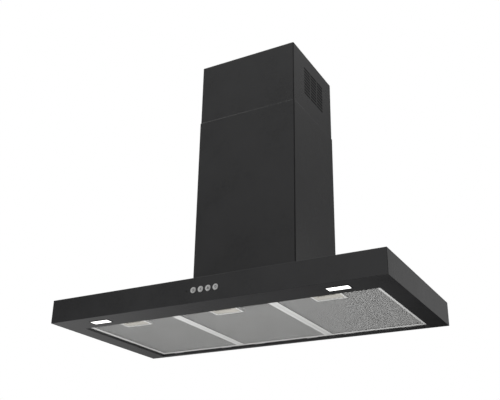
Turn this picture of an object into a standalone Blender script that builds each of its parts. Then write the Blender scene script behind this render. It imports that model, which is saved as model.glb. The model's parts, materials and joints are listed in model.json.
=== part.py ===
"""A wall-mounted, T-shaped range hood: a flat canopy with three grease filters, under a telescopic chimney.

Metres, +Z up. The origin is the centre of the canopy's underside. The front faces -Y and the wall is at +Y.
"""

import math

import bmesh
import bpy
from mathutils import Matrix, Vector

MM = 0.001
GAP = 0.3 * MM  # air between pieces that touch
REACH = 5 * MM  # how far a cutter runs past the face it cuts
ROUND = 28  # sides of a large round piece
SMALL_ROUND = 16  # sides of a small one
SMOOTH_ANGLE = math.radians(32)

# Canopy, the flat box over the hob
CANOPY_WIDTH = 898 * MM
CANOPY_DEPTH = 450 * MM
CANOPY_HEIGHT = 60 * MM
CANOPY_SHEET = 1.0 * MM

# Underside: a rim round the filter opening, with a flange turned up inside it
SIDE_RIM = 47 * MM
FRONT_RIM = 80 * MM
REAR_RIM = 13 * MM
FLANGE_RISE = 18 * MM
WALL_HOLE_RADIUS = 4 * MM
WALL_HOLE_INSET = 120 * MM  # from each end of the rear panel

# Grease filters
FILTER_COUNT = 3
FILTER_RECESS = 6 * MM  # underside of the rim to underside of the filter
FILTER_THICKNESS = 9 * MM
FILTER_SHEET = 1.0 * MM
FILTER_LIP = 11 * MM
FILTER_SIDE_CLEARANCE = 0.8 * MM
FILTER_FRONT_CLEARANCE = 1.0 * MM
FILTER_REAR_CLEARANCE = 1.5 * MM
TAB_WIDTH = 30 * MM
TAB_INSET = 53 * MM  # filter's end to the middle of its rear tab
TAB_REACH = 3 * MM  # past the flange
TAB_SLOT_BELOW = 1.6 * MM
TAB_SLOT_ABOVE = 3.6 * MM
TAB_SIDE_CLEARANCE = 1.0 * MM

# Filter latch: a sliding slab with a narrower grip under it and a tongue in front
LATCH_WIDTH = 72 * MM
LATCH_DEPTH = 45 * MM
LATCH_TRAVEL = 6 * MM
LATCH_CLEARANCE = 0.4 * MM
GRIP_WIDTH = 66 * MM
GRIP_RECESS = 0.3 * MM
SHOULDER_HEIGHT = 2.5 * MM
TONGUE_WIDTH = 32 * MM
TONGUE_LOW = 3.5 * MM
TONGUE_THICKNESS = 3 * MM
TONGUE_RAMP = 2 * MM
TONGUE_NOSE = 0.8 * MM
TONGUE_REACH = 3 * MM  # past the flange
FINGER_WIDTH = 44 * MM
FINGER_DEPTH = 11 * MM
FINGER_BEHIND_LIP = 1.5 * MM
FINGER_SINK = 4.2 * MM
SPRING_RADIUS = 1.6 * MM
SPRING_WIRE = 0.5 * MM
SPRING_TURNS = 6
SPRING_STEPS = 8  # points in a turn
SPRING_BORE_CLEARANCE = 0.35 * MM
SPRING_BORE_DEPTH = 8 * MM

# Lamps, two in the front rim
LAMP_INSET = 127 * MM  # canopy's end to the lamp's middle
LAMP_FROM_FRONT = 43 * MM
LAMP_LENGTH = 52 * MM
LAMP_WIDTH = 22 * MM
BEZEL_LIP = 2.0 * MM
BEZEL_THICKNESS = 0.6 * MM
BEZEL_WALL = 0.9 * MM
BEZEL_RISE = 6 * MM
LENS_THICKNESS = 3.4 * MM
LAMP_HOUSING_MARGIN = 2.5 * MM
LAMP_HOUSING_WALL = 1.2 * MM
LAMP_HOUSING_HEIGHT = 20 * MM
LAMP_BOARD_THICKNESS = 1.6 * MM
LAMP_BOARD_ABOVE_BEZEL = 2 * MM

# Push buttons in the front face
BUTTON_COUNT = 4
BUTTON_FIRST_X = -22 * MM
BUTTON_PITCH = 20 * MM
BUTTON_RADIUS = 7.3 * MM
BUTTON_CLEARANCE = 0.4 * MM
BUTTON_STANDS_OUT = 1.2 * MM
BUTTON_BEVEL = 0.4 * MM
BUTTON_TRAVEL = 1.0 * MM
BUTTON_FLANGE = 1.1 * MM
BUTTON_FLANGE_THICKNESS = 1.5 * MM
STEM_RADIUS = 3 * MM
STEM_GUIDE = 3 * MM
STEM_LENGTH = 7 * MM  # behind the button's flange
SWITCH_SIDE = 6 * MM
SWITCH_HEIGHT = 2.7 * MM
SWITCH_ROOM = 5.2 * MM  # radius of the pocket round a switch
INDICATOR_X = -40.5 * MM
INDICATOR_RADIUS = 1.25 * MM
INDICATOR_STANDS_OUT = 0.2 * MM
INDICATOR_FLANGE = 0.9 * MM
SWITCH_HOUSING_MARGIN = 12 * MM
SWITCH_HOUSING_HEIGHT = 28 * MM
BOARD_THICKNESS = 1.6 * MM
BOARD_INSET = 1.0 * MM

# Sheet in front of the filter opening, which shuts the wiring off from the grease
DIVIDER_CLEARANCE = 4 * MM

# Chimney: the lower cover stands on the canopy, the upper one slides inside it
CHIMNEY_WIDTH = 300 * MM
CHIMNEY_DEPTH = 260 * MM
CHIMNEY_SHEET = 0.8 * MM
CHIMNEY_CORNER = 3 * MM
CHIMNEY_RETURN = 14 * MM
COVER_CLEARANCE = 0.6 * MM
LOWER_COVER_TOP = 600 * MM
UPPER_COVER_TOP = 787 * MM
UPPER_COVER_LENGTH = 540 * MM
CORNER_STEPS = 4

# Louvres in both sides of the upper cover
LOUVRE_COLUMNS = 3
LOUVRE_ROWS = 9
LOUVRE_LENGTH = 38.5 * MM
LOUVRE_HEIGHT = 5 * MM
LOUVRE_BRIDGE = 5 * MM
LOUVRE_PITCH = 10 * MM
LOUVRE_BELOW_TOP = 43 * MM
LOUVRE_OFFSET = 4 * MM  # the grid's middle, behind the middle of the side
LOUVRE_TONGUE_REACH = 3.2 * MM  # inwards past the sheet
LOUVRE_TONGUE_SINK = 0.1 * MM  # below the slot's top edge, and inside its ends
LOUVRE_TONGUE_DROP = 1 * MM  # how far the hollow under a tongue runs on below its tip
LOUVRE_CHEEK = 0.8 * MM  # the wall that closes each end of a tongue

# Wall bracket that the upper cover hangs on
BRACKET_SHEET = 2 * MM
BRACKET_HEIGHT = 30 * MM
BRACKET_BELOW_TOP = 8 * MM
BRACKET_EAR = 28 * MM
BRACKET_JOG = 5 * MM
BRACKET_CLEARANCE = 2 * MM

# Blower box on the canopy, inside the chimney
BOX_SHEET = 0.8 * MM
BOX_SIDE_CLEARANCE = 22 * MM
BOX_FRONT_CLEARANCE = 4 * MM
HANGER_DEPTH = 35 * MM  # from the box's back to the wall
BOX_FLANGE = 14 * MM
AIR_MARGIN = 12 * MM  # box wall to the edge of the air opening under it

# Hanging brackets on the wall, hooked into the back of the blower box
HOOK_WIDTH = 40 * MM
HOOK_INSET = 31 * MM
HOOK_SHEET = 2 * MM
HOOK_LIP = 12 * MM
HOOK_PLATE = 60 * MM
HOOK_BELOW_TOP = 60 * MM
HOOK_CLEARANCE = 0.6 * MM

# Scroll housing of the blower, in two halves
SCROLL_HALF_WIDTH = 62 * MM
SCROLL_WALL = 2 * MM
SCROLL_CLEARANCE = 1.5 * MM
SCROLL_GROWTH = 26 * MM
SCROLL_TONGUE = 115.0  # degrees from the outlet's rear wall
SCROLL_STEP = 12.25  # degrees between points of the spiral
SCROLL_BELOW = 12 * MM
OUTLET_RISE = 40 * MM

# Impeller, with an inlet on each side
IMPELLER_CLEARANCE = 10 * MM
IMPELLER_SIDE_CLEARANCE = 6 * MM
IMPELLER_RING = 2 * MM
BLADE_COUNT = 20
BLADE_DEPTH = 13 * MM
BLADE_THICKNESS = 1.4 * MM
BLADE_LEAN = 7.0  # degrees that a blade's tip leads its root
BLADE_MIDDLE_LEAN = 1.75
BLADE_SINK = 0.5 * MM  # into the end rings, past each edge
DISC_THICKNESS = 2 * MM
HUB_RADIUS = 12 * MM
HUB_BACK = 14 * MM
HUB_FRONT = 8 * MM

# Motor, inside the right half of the impeller
SHAFT_RADIUS = 4 * MM
MOTOR_RADIUS = 42 * MM
MOTOR_START = 14 * MM
MOTOR_END_CAP = 4 * MM
ROTOR_RADIUS = 21.5 * MM
ROTOR_AIR = 0.5 * MM
ROTOR_INSET = 4 * MM
ARM_COUNT = 3
ARM_WIDTH = 14 * MM
ARM_OVERLAP = 9 * MM
ARM_SHEET = 2.5 * MM
ARM_DISC_RADIUS = 26 * MM

# Duct collar with two non-return flaps
COLLAR_RADIUS = 75 * MM
COLLAR_WALL = 1.5 * MM
COLLAR_HEIGHT = 60 * MM
COLLAR_PLATE = 2 * MM
COLLAR_PLATE_MARGIN = 9 * MM
FLAP_AXIS_HEIGHT = 14 * MM
FLAP_THICKNESS = 1.5 * MM
FLAP_EDGE_CLEARANCE = 1.2 * MM
FLAP_ROOT = 4.2 * MM
FLAP_STOP = 3.5 * MM
KNUCKLE_RADIUS = 3.3 * MM
KNUCKLE_LENGTH = 14 * MM
KNUCKLE_PITCH = 20 * MM
PIN_RADIUS = 1.5 * MM
PIN_CLEARANCE = 0.4 * MM
PIN_STANDS_OUT = 1 * MM

# Electrics beside the collar
CONTROL_WIDTH = 34 * MM
CONTROL_DEPTH = 100 * MM
CONTROL_HEIGHT = 42 * MM
CONTROL_WALL = 2 * MM
CONTROL_CLEARANCE = 2 * MM
CAPACITOR_RADIUS = 15 * MM
CAPACITOR_HEIGHT = 55 * MM
GLAND_RADIUS = 9 * MM
GLAND_BORE = 4 * MM
GLAND_HEIGHT = 14 * MM
GLAND_THREAD = 6.5 * MM
GLAND_NUT = 8.4 * MM

# Screws that hold the blower box to the canopy
SCREW_RADIUS = 2.2 * MM
SCREW_HEAD_RADIUS = 4.5 * MM
SCREW_HEAD = 3 * MM
SCREW_CROWN_RADIUS = 3.1 * MM
SCREW_LENGTH = 8 * MM
SCREW_CLEARANCE = 0.4 * MM
SCREW_INSET = 30 * MM

# Places that follow from the sizes
FRONT = -CANOPY_DEPTH / 2
WALL = CANOPY_DEPTH / 2
CANOPY_HALF = CANOPY_WIDTH / 2
INSIDE_HALF = CANOPY_HALF - CANOPY_SHEET - GAP
INSIDE_LOW = CANOPY_SHEET + GAP
INSIDE_TOP = CANOPY_HEIGHT - CANOPY_SHEET - GAP

OPENING_HALF = CANOPY_HALF - SIDE_RIM
OPENING_FRONT = FRONT + FRONT_RIM
OPENING_BACK = WALL - REAR_RIM

FILTER_WIDTH = (2 * OPENING_HALF - (FILTER_COUNT + 1) * FILTER_SIDE_CLEARANCE) / FILTER_COUNT
FILTER_PITCH = FILTER_WIDTH + FILTER_SIDE_CLEARANCE
HINGE_Y = OPENING_BACK + CANOPY_SHEET / 2
FILTER_FRONT = OPENING_FRONT + FILTER_FRONT_CLEARANCE - HINGE_Y  # from the filter's hinge
FILTER_REAR = -CANOPY_SHEET / 2 - FILTER_REAR_CLEARANCE
LATCH_REAR = FILTER_FRONT + FILTER_SHEET + GAP + LATCH_DEPTH
POCKET_REAR = LATCH_REAR + LATCH_TRAVEL + FILTER_SHEET  # the pocket's inner rear face

CHIMNEY_HALF = CHIMNEY_WIDTH / 2
CHIMNEY_FRONT = WALL - CHIMNEY_DEPTH
COVER_STEP = CHIMNEY_SHEET + COVER_CLEARANCE
UPPER_HALF = CHIMNEY_HALF - COVER_STEP
UPPER_FRONT = CHIMNEY_FRONT + COVER_STEP
UPPER_BACK = WALL - COVER_STEP
UPPER_INNER_HALF = UPPER_HALF - CHIMNEY_SHEET

BOX_HALF = UPPER_INNER_HALF - BOX_SIDE_CLEARANCE
BOX_FRONT = UPPER_FRONT + CHIMNEY_SHEET + BOX_FRONT_CLEARANCE
BOX_BACK = WALL - HANGER_DEPTH
BOX_LOW = CANOPY_HEIGHT + GAP

# The spiral fills the depth of the box; its radius grows from the tongue round to the outlet's rear wall.
FRONT_SHARE = (180.0 - SCROLL_TONGUE) / (360.0 - SCROLL_TONGUE)
BELOW_SHARE = (270.0 - SCROLL_TONGUE) / (360.0 - SCROLL_TONGUE)
SCROLL_ROOM = BOX_BACK - BOX_FRONT - 2 * (BOX_SHEET + SCROLL_CLEARANCE + SCROLL_WALL)
SCROLL_START_RADIUS = (SCROLL_ROOM - SCROLL_GROWTH * (1 + FRONT_SHARE)) / 2
SCROLL_END_RADIUS = SCROLL_START_RADIUS + SCROLL_GROWTH
AXLE_Y = (
    BOX_FRONT + BOX_SHEET + SCROLL_CLEARANCE + SCROLL_WALL + SCROLL_START_RADIUS + SCROLL_GROWTH * FRONT_SHARE
)
AXLE_Z = BOX_LOW + SCROLL_BELOW + SCROLL_WALL + SCROLL_START_RADIUS + SCROLL_GROWTH * BELOW_SHARE
OUTLET_FRONT = AXLE_Y + SCROLL_START_RADIUS * math.cos(math.radians(SCROLL_TONGUE))
OUTLET_BACK = AXLE_Y + SCROLL_END_RADIUS
OUTLET_Y = (OUTLET_FRONT + OUTLET_BACK) / 2
BOX_TOP = AXLE_Z + SCROLL_START_RADIUS * math.sin(math.radians(SCROLL_TONGUE)) + OUTLET_RISE

IMPELLER_RADIUS = SCROLL_START_RADIUS - IMPELLER_CLEARANCE
IMPELLER_HALF_WIDTH = SCROLL_HALF_WIDTH - SCROLL_WALL - IMPELLER_SIDE_CLEARANCE
EYE_RADIUS = IMPELLER_RADIUS - BLADE_DEPTH
COLLAR_LOW = BOX_TOP + GAP
FLAP_AXIS_Z = COLLAR_LOW + FLAP_AXIS_HEIGHT
LAMP_X = CANOPY_HALF - LAMP_INSET
LAMP_Y = FRONT + LAMP_FROM_FRONT
BUTTON_Z = CANOPY_HEIGHT / 2
UPPER_COVER_LOW = UPPER_COVER_TOP - UPPER_COVER_LENGTH
SCREW_X = BOX_HALF + BOX_FLANGE / 2
SCREW_YS = (BOX_FRONT + SCREW_INSET, BOX_BACK - SCREW_INSET)


def clear_scene():
    for thing in list(bpy.data.objects):
        bpy.data.objects.remove(thing, do_unlink=True)


def material(name, colour, roughness, metallic=0.0, transmission=0.0):
    made = bpy.data.materials.new(name)
    made.use_nodes = True
    shader = made.node_tree.nodes["Principled BSDF"]
    shader.inputs["Base Color"].default_value = (*colour, 1.0)
    shader.inputs["Roughness"].default_value = roughness
    shader.inputs["Metallic"].default_value = metallic
    shader.inputs["Transmission Weight"].default_value = transmission
    made.diffuse_color = (*colour, 1.0)
    return made


# Shapes. Each is made where it lies, and finish() then moves its origin.


def shape(bm):
    """The object made from a bmesh, with its faces turned out."""
    bmesh.ops.recalc_face_normals(bm, faces=bm.faces)
    mesh = bpy.data.meshes.new("shape")
    bm.to_mesh(mesh)
    bm.free()
    thing = bpy.data.objects.new("shape", mesh)
    bpy.context.scene.collection.objects.link(thing)
    return thing


def blocks(*corners):
    """One object of rectangular blocks, each given by its lowest and highest corner."""
    bm = bmesh.new()
    for low, high in corners:
        low, high = Vector(low), Vector(high)
        place = Matrix.Translation((low + high) / 2) @ Matrix.Diagonal((*(high - low), 1.0))
        bmesh.ops.create_cube(bm, size=1.0, matrix=place)
    return shape(bm)


def add_prism(bm, outline, axis, start, end):
    along = "XYZ".index(axis)
    corners = []
    for first, second in outline:
        point = [0.0, 0.0, 0.0]
        point[along] = start
        point[(along + 1) % 3] = first
        point[(along + 2) % 3] = second
        corners.append(bm.verts.new(point))
    pushed = bmesh.ops.extrude_face_region(bm, geom=[bm.faces.new(corners)])
    moved = [item for item in pushed["geom"] if isinstance(item, bmesh.types.BMVert)]
    step = Vector((0.0, 0.0, 0.0))
    step[along] = end - start
    bmesh.ops.translate(bm, verts=moved, vec=step)


def prism(outline, axis, start, end):
    """A solid of one section. Its outline runs in the two axes that follow the given one in X, Y, Z order."""
    bm = bmesh.new()
    add_prism(bm, outline, axis, start, end)
    return shape(bm)


def turned(profile, axis, centre, steps):
    """A solid turned about an axis, from points of (radius, distance along the axis past the centre)."""
    along = "XYZ".index(axis)
    direction = Vector((0.0, 0.0, 0.0))
    direction[along] = 1.0
    bm = bmesh.new()
    corners = []
    for radius, distance in profile:
        point = Vector(centre)
        point[along] += distance
        point[(along + 1) % 3] += radius
        corners.append(bm.verts.new(point))
    pairs = list(zip(corners, corners[1:]))
    if profile[0][0] > 0:
        pairs.append((corners[-1], corners[0]))
    edges = [bm.edges.new(pair) for pair in pairs]
    bmesh.ops.spin(
        bm, geom=corners + edges, cent=centre, axis=direction, angle=math.tau, steps=steps, use_merge=True
    )
    bmesh.ops.remove_doubles(bm, verts=bm.verts, dist=1e-7)
    return shape(bm)


def rod(radius, axis, centre, start, end, steps=SMALL_ROUND):
    return turned([(0.0, start), (radius, start), (radius, end), (0.0, end)], axis, centre, steps)


def strip(path, thickness):
    """The outline of bent sheet: the path, and the same path moved to its left by the thickness."""
    points = [Vector(point) for point in path]
    sides = [(b - a).normalized() for a, b in zip(points, points[1:])]
    normals = [Vector((-side.y, side.x)) for side in sides]
    moved = []
    for index, point in enumerate(points):
        before = normals[max(index - 1, 0)]
        after = normals[min(index, len(normals) - 1)]
        middle = (before + after).normalized()
        moved.append(point + middle * thickness / middle.dot(after))
    return [tuple(point) for point in points + moved[::-1]]


def combine(thing, tool, operation):
    """Joins the tool to the object or cuts it away, and removes the tool."""
    modifier = thing.modifiers.new(operation, "BOOLEAN")
    modifier.operation = operation
    modifier.object = tool
    modifier.solver = "EXACT"
    made = bpy.data.meshes.new_from_object(thing.evaluated_get(bpy.context.evaluated_depsgraph_get()))
    old = thing.data
    thing.modifiers.clear()
    thing.data = made
    bpy.data.meshes.remove(old)
    bpy.data.objects.remove(tool, do_unlink=True)


def cut(thing, *tools):
    for tool in tools:
        combine(thing, tool, "DIFFERENCE")


def join(thing, *tools):
    for tool in tools:
        combine(thing, tool, "UNION")


def place_of(thing):
    """Where an object or an empty stands in the world. Nothing here is turned or scaled."""
    place = Vector((0.0, 0.0, 0.0))
    while thing:
        place += thing.location
        thing = thing.parent
    return place


def pivot(name, point, parent=None):
    """An empty on a joint's axis, which carries the pieces that move with it."""
    empty = bpy.data.objects.new(name, None)
    bpy.context.scene.collection.objects.link(empty)
    empty.location = Vector(point) - place_of(parent)
    empty.parent = parent
    return empty


def finish(thing, name, paint, parent, smooth=False):
    """Names and paints a piece, and hangs it on its empty with its origin there."""
    origin = place_of(parent)
    thing.name = name
    thing.data.name = name
    thing.data.transform(Matrix.Translation(-origin))
    thing.data.materials.clear()
    thing.data.materials.append(paint)
    if smooth:
        thing.data.shade_smooth()
        thing.data.set_sharp_from_angle(angle=SMOOTH_ANGLE)
    thing.parent = parent
    return thing


def copy(source, name, parent):
    """Another object with the same mesh, hung on its own empty."""
    thing = bpy.data.objects.new(name, source.data)
    bpy.context.scene.collection.objects.link(thing)
    thing.parent = parent
    return thing


# Canopy


def lamp_xs():
    return (-LAMP_X, LAMP_X)


def button_xs():
    return [BUTTON_FIRST_X + index * BUTTON_PITCH for index in range(BUTTON_COUNT)]


def filter_xs():
    first = -FILTER_PITCH * (FILTER_COUNT - 1) / 2
    return [first + index * FILTER_PITCH for index in range(FILTER_COUNT)]


def screw_places():
    return [(side * SCREW_X, y) for side in (-1, 1) for y in SCREW_YS]


def canopy_shell(paint, body):
    """Top, front and sides, folded from one sheet, open below and at the back."""
    shell = blocks(((-CANOPY_HALF, FRONT, 0), (CANOPY_HALF, WALL, CANOPY_HEIGHT)))
    inside_low = (-CANOPY_HALF + CANOPY_SHEET, FRONT + CANOPY_SHEET, -REACH)
    inside_high = (CANOPY_HALF - CANOPY_SHEET, WALL + REACH, CANOPY_HEIGHT - CANOPY_SHEET)
    cut(shell, blocks((inside_low, inside_high)))
    air_low = (-BOX_HALF + AIR_MARGIN, BOX_FRONT + AIR_MARGIN, CANOPY_HEIGHT - REACH)
    air_high = (BOX_HALF - AIR_MARGIN, BOX_BACK - AIR_MARGIN, CANOPY_HEIGHT + REACH)
    cut(shell, blocks((air_low, air_high)))
    for x in button_xs():
        cut(shell, rod(BUTTON_RADIUS + BUTTON_CLEARANCE, "Y", (x, FRONT, BUTTON_Z), -REACH, REACH, ROUND))
    cut(shell, rod(INDICATOR_RADIUS + GAP, "Y", (INDICATOR_X, FRONT, BUTTON_Z), -REACH, REACH))
    for x, y in screw_places():
        cut(shell, rod(SCREW_RADIUS + SCREW_CLEARANCE, "Z", (x, y, CANOPY_HEIGHT), -REACH, REACH))
    finish(shell, "canopy_shell", paint, body)


def underside_panel(paint, body):
    """The rim round the filters, with lamp holes, and a flange slotted for the filters' tongues and tabs."""
    low = (-INSIDE_HALF, FRONT + CANOPY_SHEET + GAP, 0)
    panel = blocks((low, (INSIDE_HALF, WALL, CANOPY_SHEET)))
    ring_low = (-OPENING_HALF - CANOPY_SHEET, OPENING_FRONT - CANOPY_SHEET, CANOPY_SHEET / 2)
    ring_high = (OPENING_HALF + CANOPY_SHEET, OPENING_BACK + CANOPY_SHEET, FLANGE_RISE)
    join(panel, blocks((ring_low, ring_high)))
    opening_low = (-OPENING_HALF, OPENING_FRONT, -REACH)
    opening_high = (OPENING_HALF, OPENING_BACK, FLANGE_RISE + REACH)
    cut(panel, blocks((opening_low, opening_high)))
    slots = []
    for x in filter_xs():
        half = TONGUE_WIDTH / 2 + LATCH_CLEARANCE
        slot_low = FILTER_RECESS + TONGUE_LOW - GAP
        slot_top = FILTER_RECESS + TONGUE_LOW + TONGUE_THICKNESS + GAP
        front, back = OPENING_FRONT - REACH, OPENING_FRONT + REACH
        slots.append(((x - half, front, slot_low), (x + half, back, slot_top)))
        for tab in (-1, 1):
            middle = x + tab * (FILTER_WIDTH / 2 - TAB_INSET)
            half = TAB_WIDTH / 2 + TAB_SIDE_CLEARANCE
            slot_low = FILTER_RECESS - TAB_SLOT_BELOW
            slot_top = FILTER_RECESS + TAB_SLOT_ABOVE
            front, back = OPENING_BACK - REACH, OPENING_BACK + REACH
            slots.append(((middle - half, front, slot_low), (middle + half, back, slot_top)))
    cut(panel, blocks(*slots))
    half_length = LAMP_LENGTH / 2 + BEZEL_WALL + GAP
    half_width = LAMP_WIDTH / 2 + BEZEL_WALL + GAP
    for x in lamp_xs():
        corner_low = (x - half_length, LAMP_Y - half_width, -REACH)
        corner_high = (x + half_length, LAMP_Y + half_width, REACH)
        cut(panel, blocks((corner_low, corner_high)))
    finish(panel, "underside_panel", paint, body)


def rear_panel(paint, body):
    """The sheet that stands against the wall, with a hole for a wall screw near each end."""
    panel = blocks(((-INSIDE_HALF, WALL - CANOPY_SHEET, INSIDE_LOW), (INSIDE_HALF, WALL, INSIDE_TOP)))
    for side in (-1, 1):
        x = side * (CANOPY_HALF - WALL_HOLE_INSET)
        cut(panel, rod(WALL_HOLE_RADIUS, "Y", (x, WALL, CANOPY_HEIGHT / 2), -REACH, REACH))
    finish(panel, "rear_panel", paint, body)


def front_divider(paint, body):
    back = OPENING_FRONT - CANOPY_SHEET - TONGUE_REACH - DIVIDER_CLEARANCE
    sheet = blocks(((-INSIDE_HALF, back - CANOPY_SHEET, INSIDE_LOW), (INSIDE_HALF, back, INSIDE_TOP)))
    finish(sheet, "front_divider", paint, body)


# Grease filters. Each is made about its hinge at x = 0, and its copies share the meshes.


def filter_frame():
    half = FILTER_WIDTH / 2
    sheet = FILTER_SHEET
    frame = blocks(((-half, FILTER_FRONT, 0), (half, FILTER_REAR, FILTER_THICKNESS)))
    window_low = (-half + FILTER_LIP, FILTER_FRONT + FILTER_LIP, -REACH)
    window_high = (half - FILTER_LIP, FILTER_REAR - FILTER_LIP, FILTER_THICKNESS + REACH)
    channel_low = (-half + sheet, FILTER_FRONT + sheet, sheet)
    channel_high = (half - sheet, FILTER_REAR - sheet, FILTER_THICKNESS - sheet)
    cut(frame, blocks((window_low, window_high)), blocks((channel_low, channel_high)))
    # The latch's pocket, closed above and behind
    room = LATCH_WIDTH / 2 + LATCH_CLEARANCE
    pocket_low = (-room - sheet, FILTER_FRONT + sheet / 2, 0)
    join(frame, blocks((pocket_low, (room + sheet, POCKET_REAR + sheet, FILTER_THICKNESS))))
    cavity_low = (-room, FILTER_FRONT + sheet, SHOULDER_HEIGHT)
    cut(frame, blocks((cavity_low, (room, POCKET_REAR, FILTER_THICKNESS - sheet))))
    mouth = GRIP_WIDTH / 2 + LATCH_CLEARANCE
    mouth_low = (-mouth, FILTER_FRONT + FILTER_LIP, -REACH)
    cut(frame, blocks((mouth_low, (mouth, POCKET_REAR, SHOULDER_HEIGHT + sheet))))
    slot = TONGUE_WIDTH / 2 + LATCH_CLEARANCE
    slot_low = (-slot, FILTER_FRONT - REACH, TONGUE_LOW - GAP)
    slot_high = (slot, FILTER_FRONT + 2 * sheet, TONGUE_LOW + TONGUE_THICKNESS + GAP)
    cut(frame, blocks((slot_low, slot_high)))
    for tab in (-1, 1):
        middle = tab * (half - TAB_INSET)
        tab_low = (middle - TAB_WIDTH / 2, FILTER_REAR - sheet / 2, 0)
        tab_high = (middle + TAB_WIDTH / 2, CANOPY_SHEET / 2 + TAB_REACH, sheet)
        join(frame, blocks((tab_low, tab_high)))
    return frame


def filter_pad():
    """Layers of aluminium mesh, held in the frame's channel and notched round the latch's pocket."""
    inset = FILTER_SHEET + GAP
    half = FILTER_WIDTH / 2 - inset
    low = (-half, FILTER_FRONT + inset, inset)
    pad = blocks((low, (half, FILTER_REAR - inset, FILTER_THICKNESS - inset)))
    notch = LATCH_WIDTH / 2 + LATCH_CLEARANCE + inset
    cut(pad, blocks(((-notch, FILTER_FRONT - REACH, -REACH), (notch, POCKET_REAR + inset, FILTER_THICKNESS))))
    return pad


def filter_latch():
    front = FILTER_FRONT + FILTER_SHEET + GAP
    top = FILTER_THICKNESS - FILTER_SHEET - GAP
    shoulder = SHOULDER_HEIGHT + GAP
    slab_low = (-LATCH_WIDTH / 2, front, shoulder)
    latch = blocks((slab_low, (LATCH_WIDTH / 2, LATCH_REAR, top)))
    grip_low = (-GRIP_WIDTH / 2, FILTER_FRONT + FILTER_LIP + GAP, GRIP_RECESS)
    join(latch, blocks((grip_low, (GRIP_WIDTH / 2, LATCH_REAR - GAP, shoulder + FILTER_SHEET))))
    finger_front = FILTER_FRONT + FILTER_LIP + GAP + FINGER_BEHIND_LIP
    finger_low = (-FINGER_WIDTH / 2, finger_front, GRIP_RECESS - REACH)
    finger_high = (FINGER_WIDTH / 2, finger_front + FINGER_DEPTH, GRIP_RECESS + FINGER_SINK)
    cut(latch, blocks((finger_low, finger_high)))
    tip = OPENING_FRONT - CANOPY_SHEET - TONGUE_REACH - HINGE_Y
    tongue_top = TONGUE_LOW + TONGUE_THICKNESS
    outline = [
        (tip, TONGUE_LOW),
        (front + FILTER_SHEET, TONGUE_LOW),
        (front + FILTER_SHEET, tongue_top),
        (tip + TONGUE_RAMP, tongue_top),
        (tip, TONGUE_LOW + TONGUE_NOSE),
    ]
    join(latch, prism(outline, "X", -TONGUE_WIDTH / 2, TONGUE_WIDTH / 2))
    bore = SPRING_RADIUS + SPRING_WIRE / 2 + SPRING_BORE_CLEARANCE
    cut(latch, rod(bore, "Y", (0, LATCH_REAR, spring_height()), -SPRING_BORE_DEPTH, REACH))
    return latch


def spring_height():
    """Half-way up the latch's slab."""
    return (SHOULDER_HEIGHT + FILTER_THICKNESS - FILTER_SHEET) / 2


def latch_spring():
    start = LATCH_REAR - SPRING_BORE_DEPTH + GAP + SPRING_WIRE / 2
    end = POCKET_REAR - GAP - SPRING_WIRE / 2
    count = SPRING_TURNS * SPRING_STEPS
    curve = bpy.data.curves.new("latch_spring", "CURVE")
    curve.dimensions = "3D"
    curve.bevel_depth = SPRING_WIRE / 2
    curve.bevel_resolution = 0
    curve.use_fill_caps = True
    line = curve.splines.new("POLY")
    line.points.add(count)
    for index, point in enumerate(line.points):
        angle = math.tau * index / SPRING_STEPS
        x = SPRING_RADIUS * math.cos(angle)
        y = start + (end - start) * index / count
        z = spring_height() + SPRING_RADIUS * math.sin(angle)
        point.co = (x, y, z, 1.0)
    thing = bpy.data.objects.new("latch_spring", curve)
    bpy.context.scene.collection.objects.link(thing)
    return thing


def filters(paints, body):
    """Every filter hangs on an empty on its hinge, and its latch and spring on another, which slides."""
    makers = (
        ("frame", filter_frame, paints["filter_frame"]),
        ("mesh", filter_pad, paints["filter_mesh"]),
        ("latch", filter_latch, paints["latch"]),
        ("spring", latch_spring, paints["spring"]),
    )
    first = {}
    for number, x in enumerate(filter_xs(), start=1):
        hinge = pivot(f"filter_{number}_hinge", (x, HINGE_Y, FILTER_RECESS), body)
        slide = pivot(f"latch_{number}_slide", place_of(hinge), hinge)
        for part, make, paint in makers:
            name = f"latch_spring_{number}" if part == "spring" else f"filter_{part}_{number}"
            carrier = slide if part == "latch" else hinge
            if part in first:
                copy(first[part], name, carrier)
                continue
            thing = make()
            thing.name = name
            thing.data.name = f"filter_{part}"
            thing.data.materials.append(paint)
            thing.parent = carrier
            first[part] = thing


# Lamps


def lamp(side, x, paints, body):
    half_length, half_width = LAMP_LENGTH / 2, LAMP_WIDTH / 2

    def grown(margin, low, high):
        corner = (x - half_length - margin, LAMP_Y - half_width - margin, low)
        return corner, (x + half_length + margin, LAMP_Y + half_width + margin, high)

    face = -GAP - BEZEL_THICKNESS
    bezel = blocks(grown(BEZEL_LIP, face, -GAP))
    join(bezel, blocks(grown(BEZEL_WALL, face + BEZEL_THICKNESS / 2, BEZEL_RISE)))
    cut(bezel, blocks(grown(0, face - REACH, BEZEL_RISE + REACH)))
    finish(bezel, f"lamp_bezel_{side}", paints["black_plastic"], body)
    lens = blocks(grown(-GAP, face + GAP, face + GAP + LENS_THICKNESS))
    finish(lens, f"lamp_lens_{side}", paints["lens"], body)
    low = CANOPY_SHEET + GAP
    housing = blocks(grown(LAMP_HOUSING_MARGIN + LAMP_HOUSING_WALL, low, LAMP_HOUSING_HEIGHT))
    cut(housing, blocks(grown(LAMP_HOUSING_MARGIN, low - REACH, LAMP_HOUSING_HEIGHT - LAMP_HOUSING_WALL)))
    finish(housing, f"lamp_housing_{side}", paints["black_plastic"], body)
    low = BEZEL_RISE + LAMP_BOARD_ABOVE_BEZEL
    board = blocks(grown(LAMP_HOUSING_MARGIN - GAP, low, low + LAMP_BOARD_THICKNESS))
    finish(board, f"lamp_board_{side}", paints["board"], body)


# Push buttons


def button_flange_back():
    return CANOPY_SHEET + GAP + BUTTON_FLANGE_THICKNESS


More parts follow.
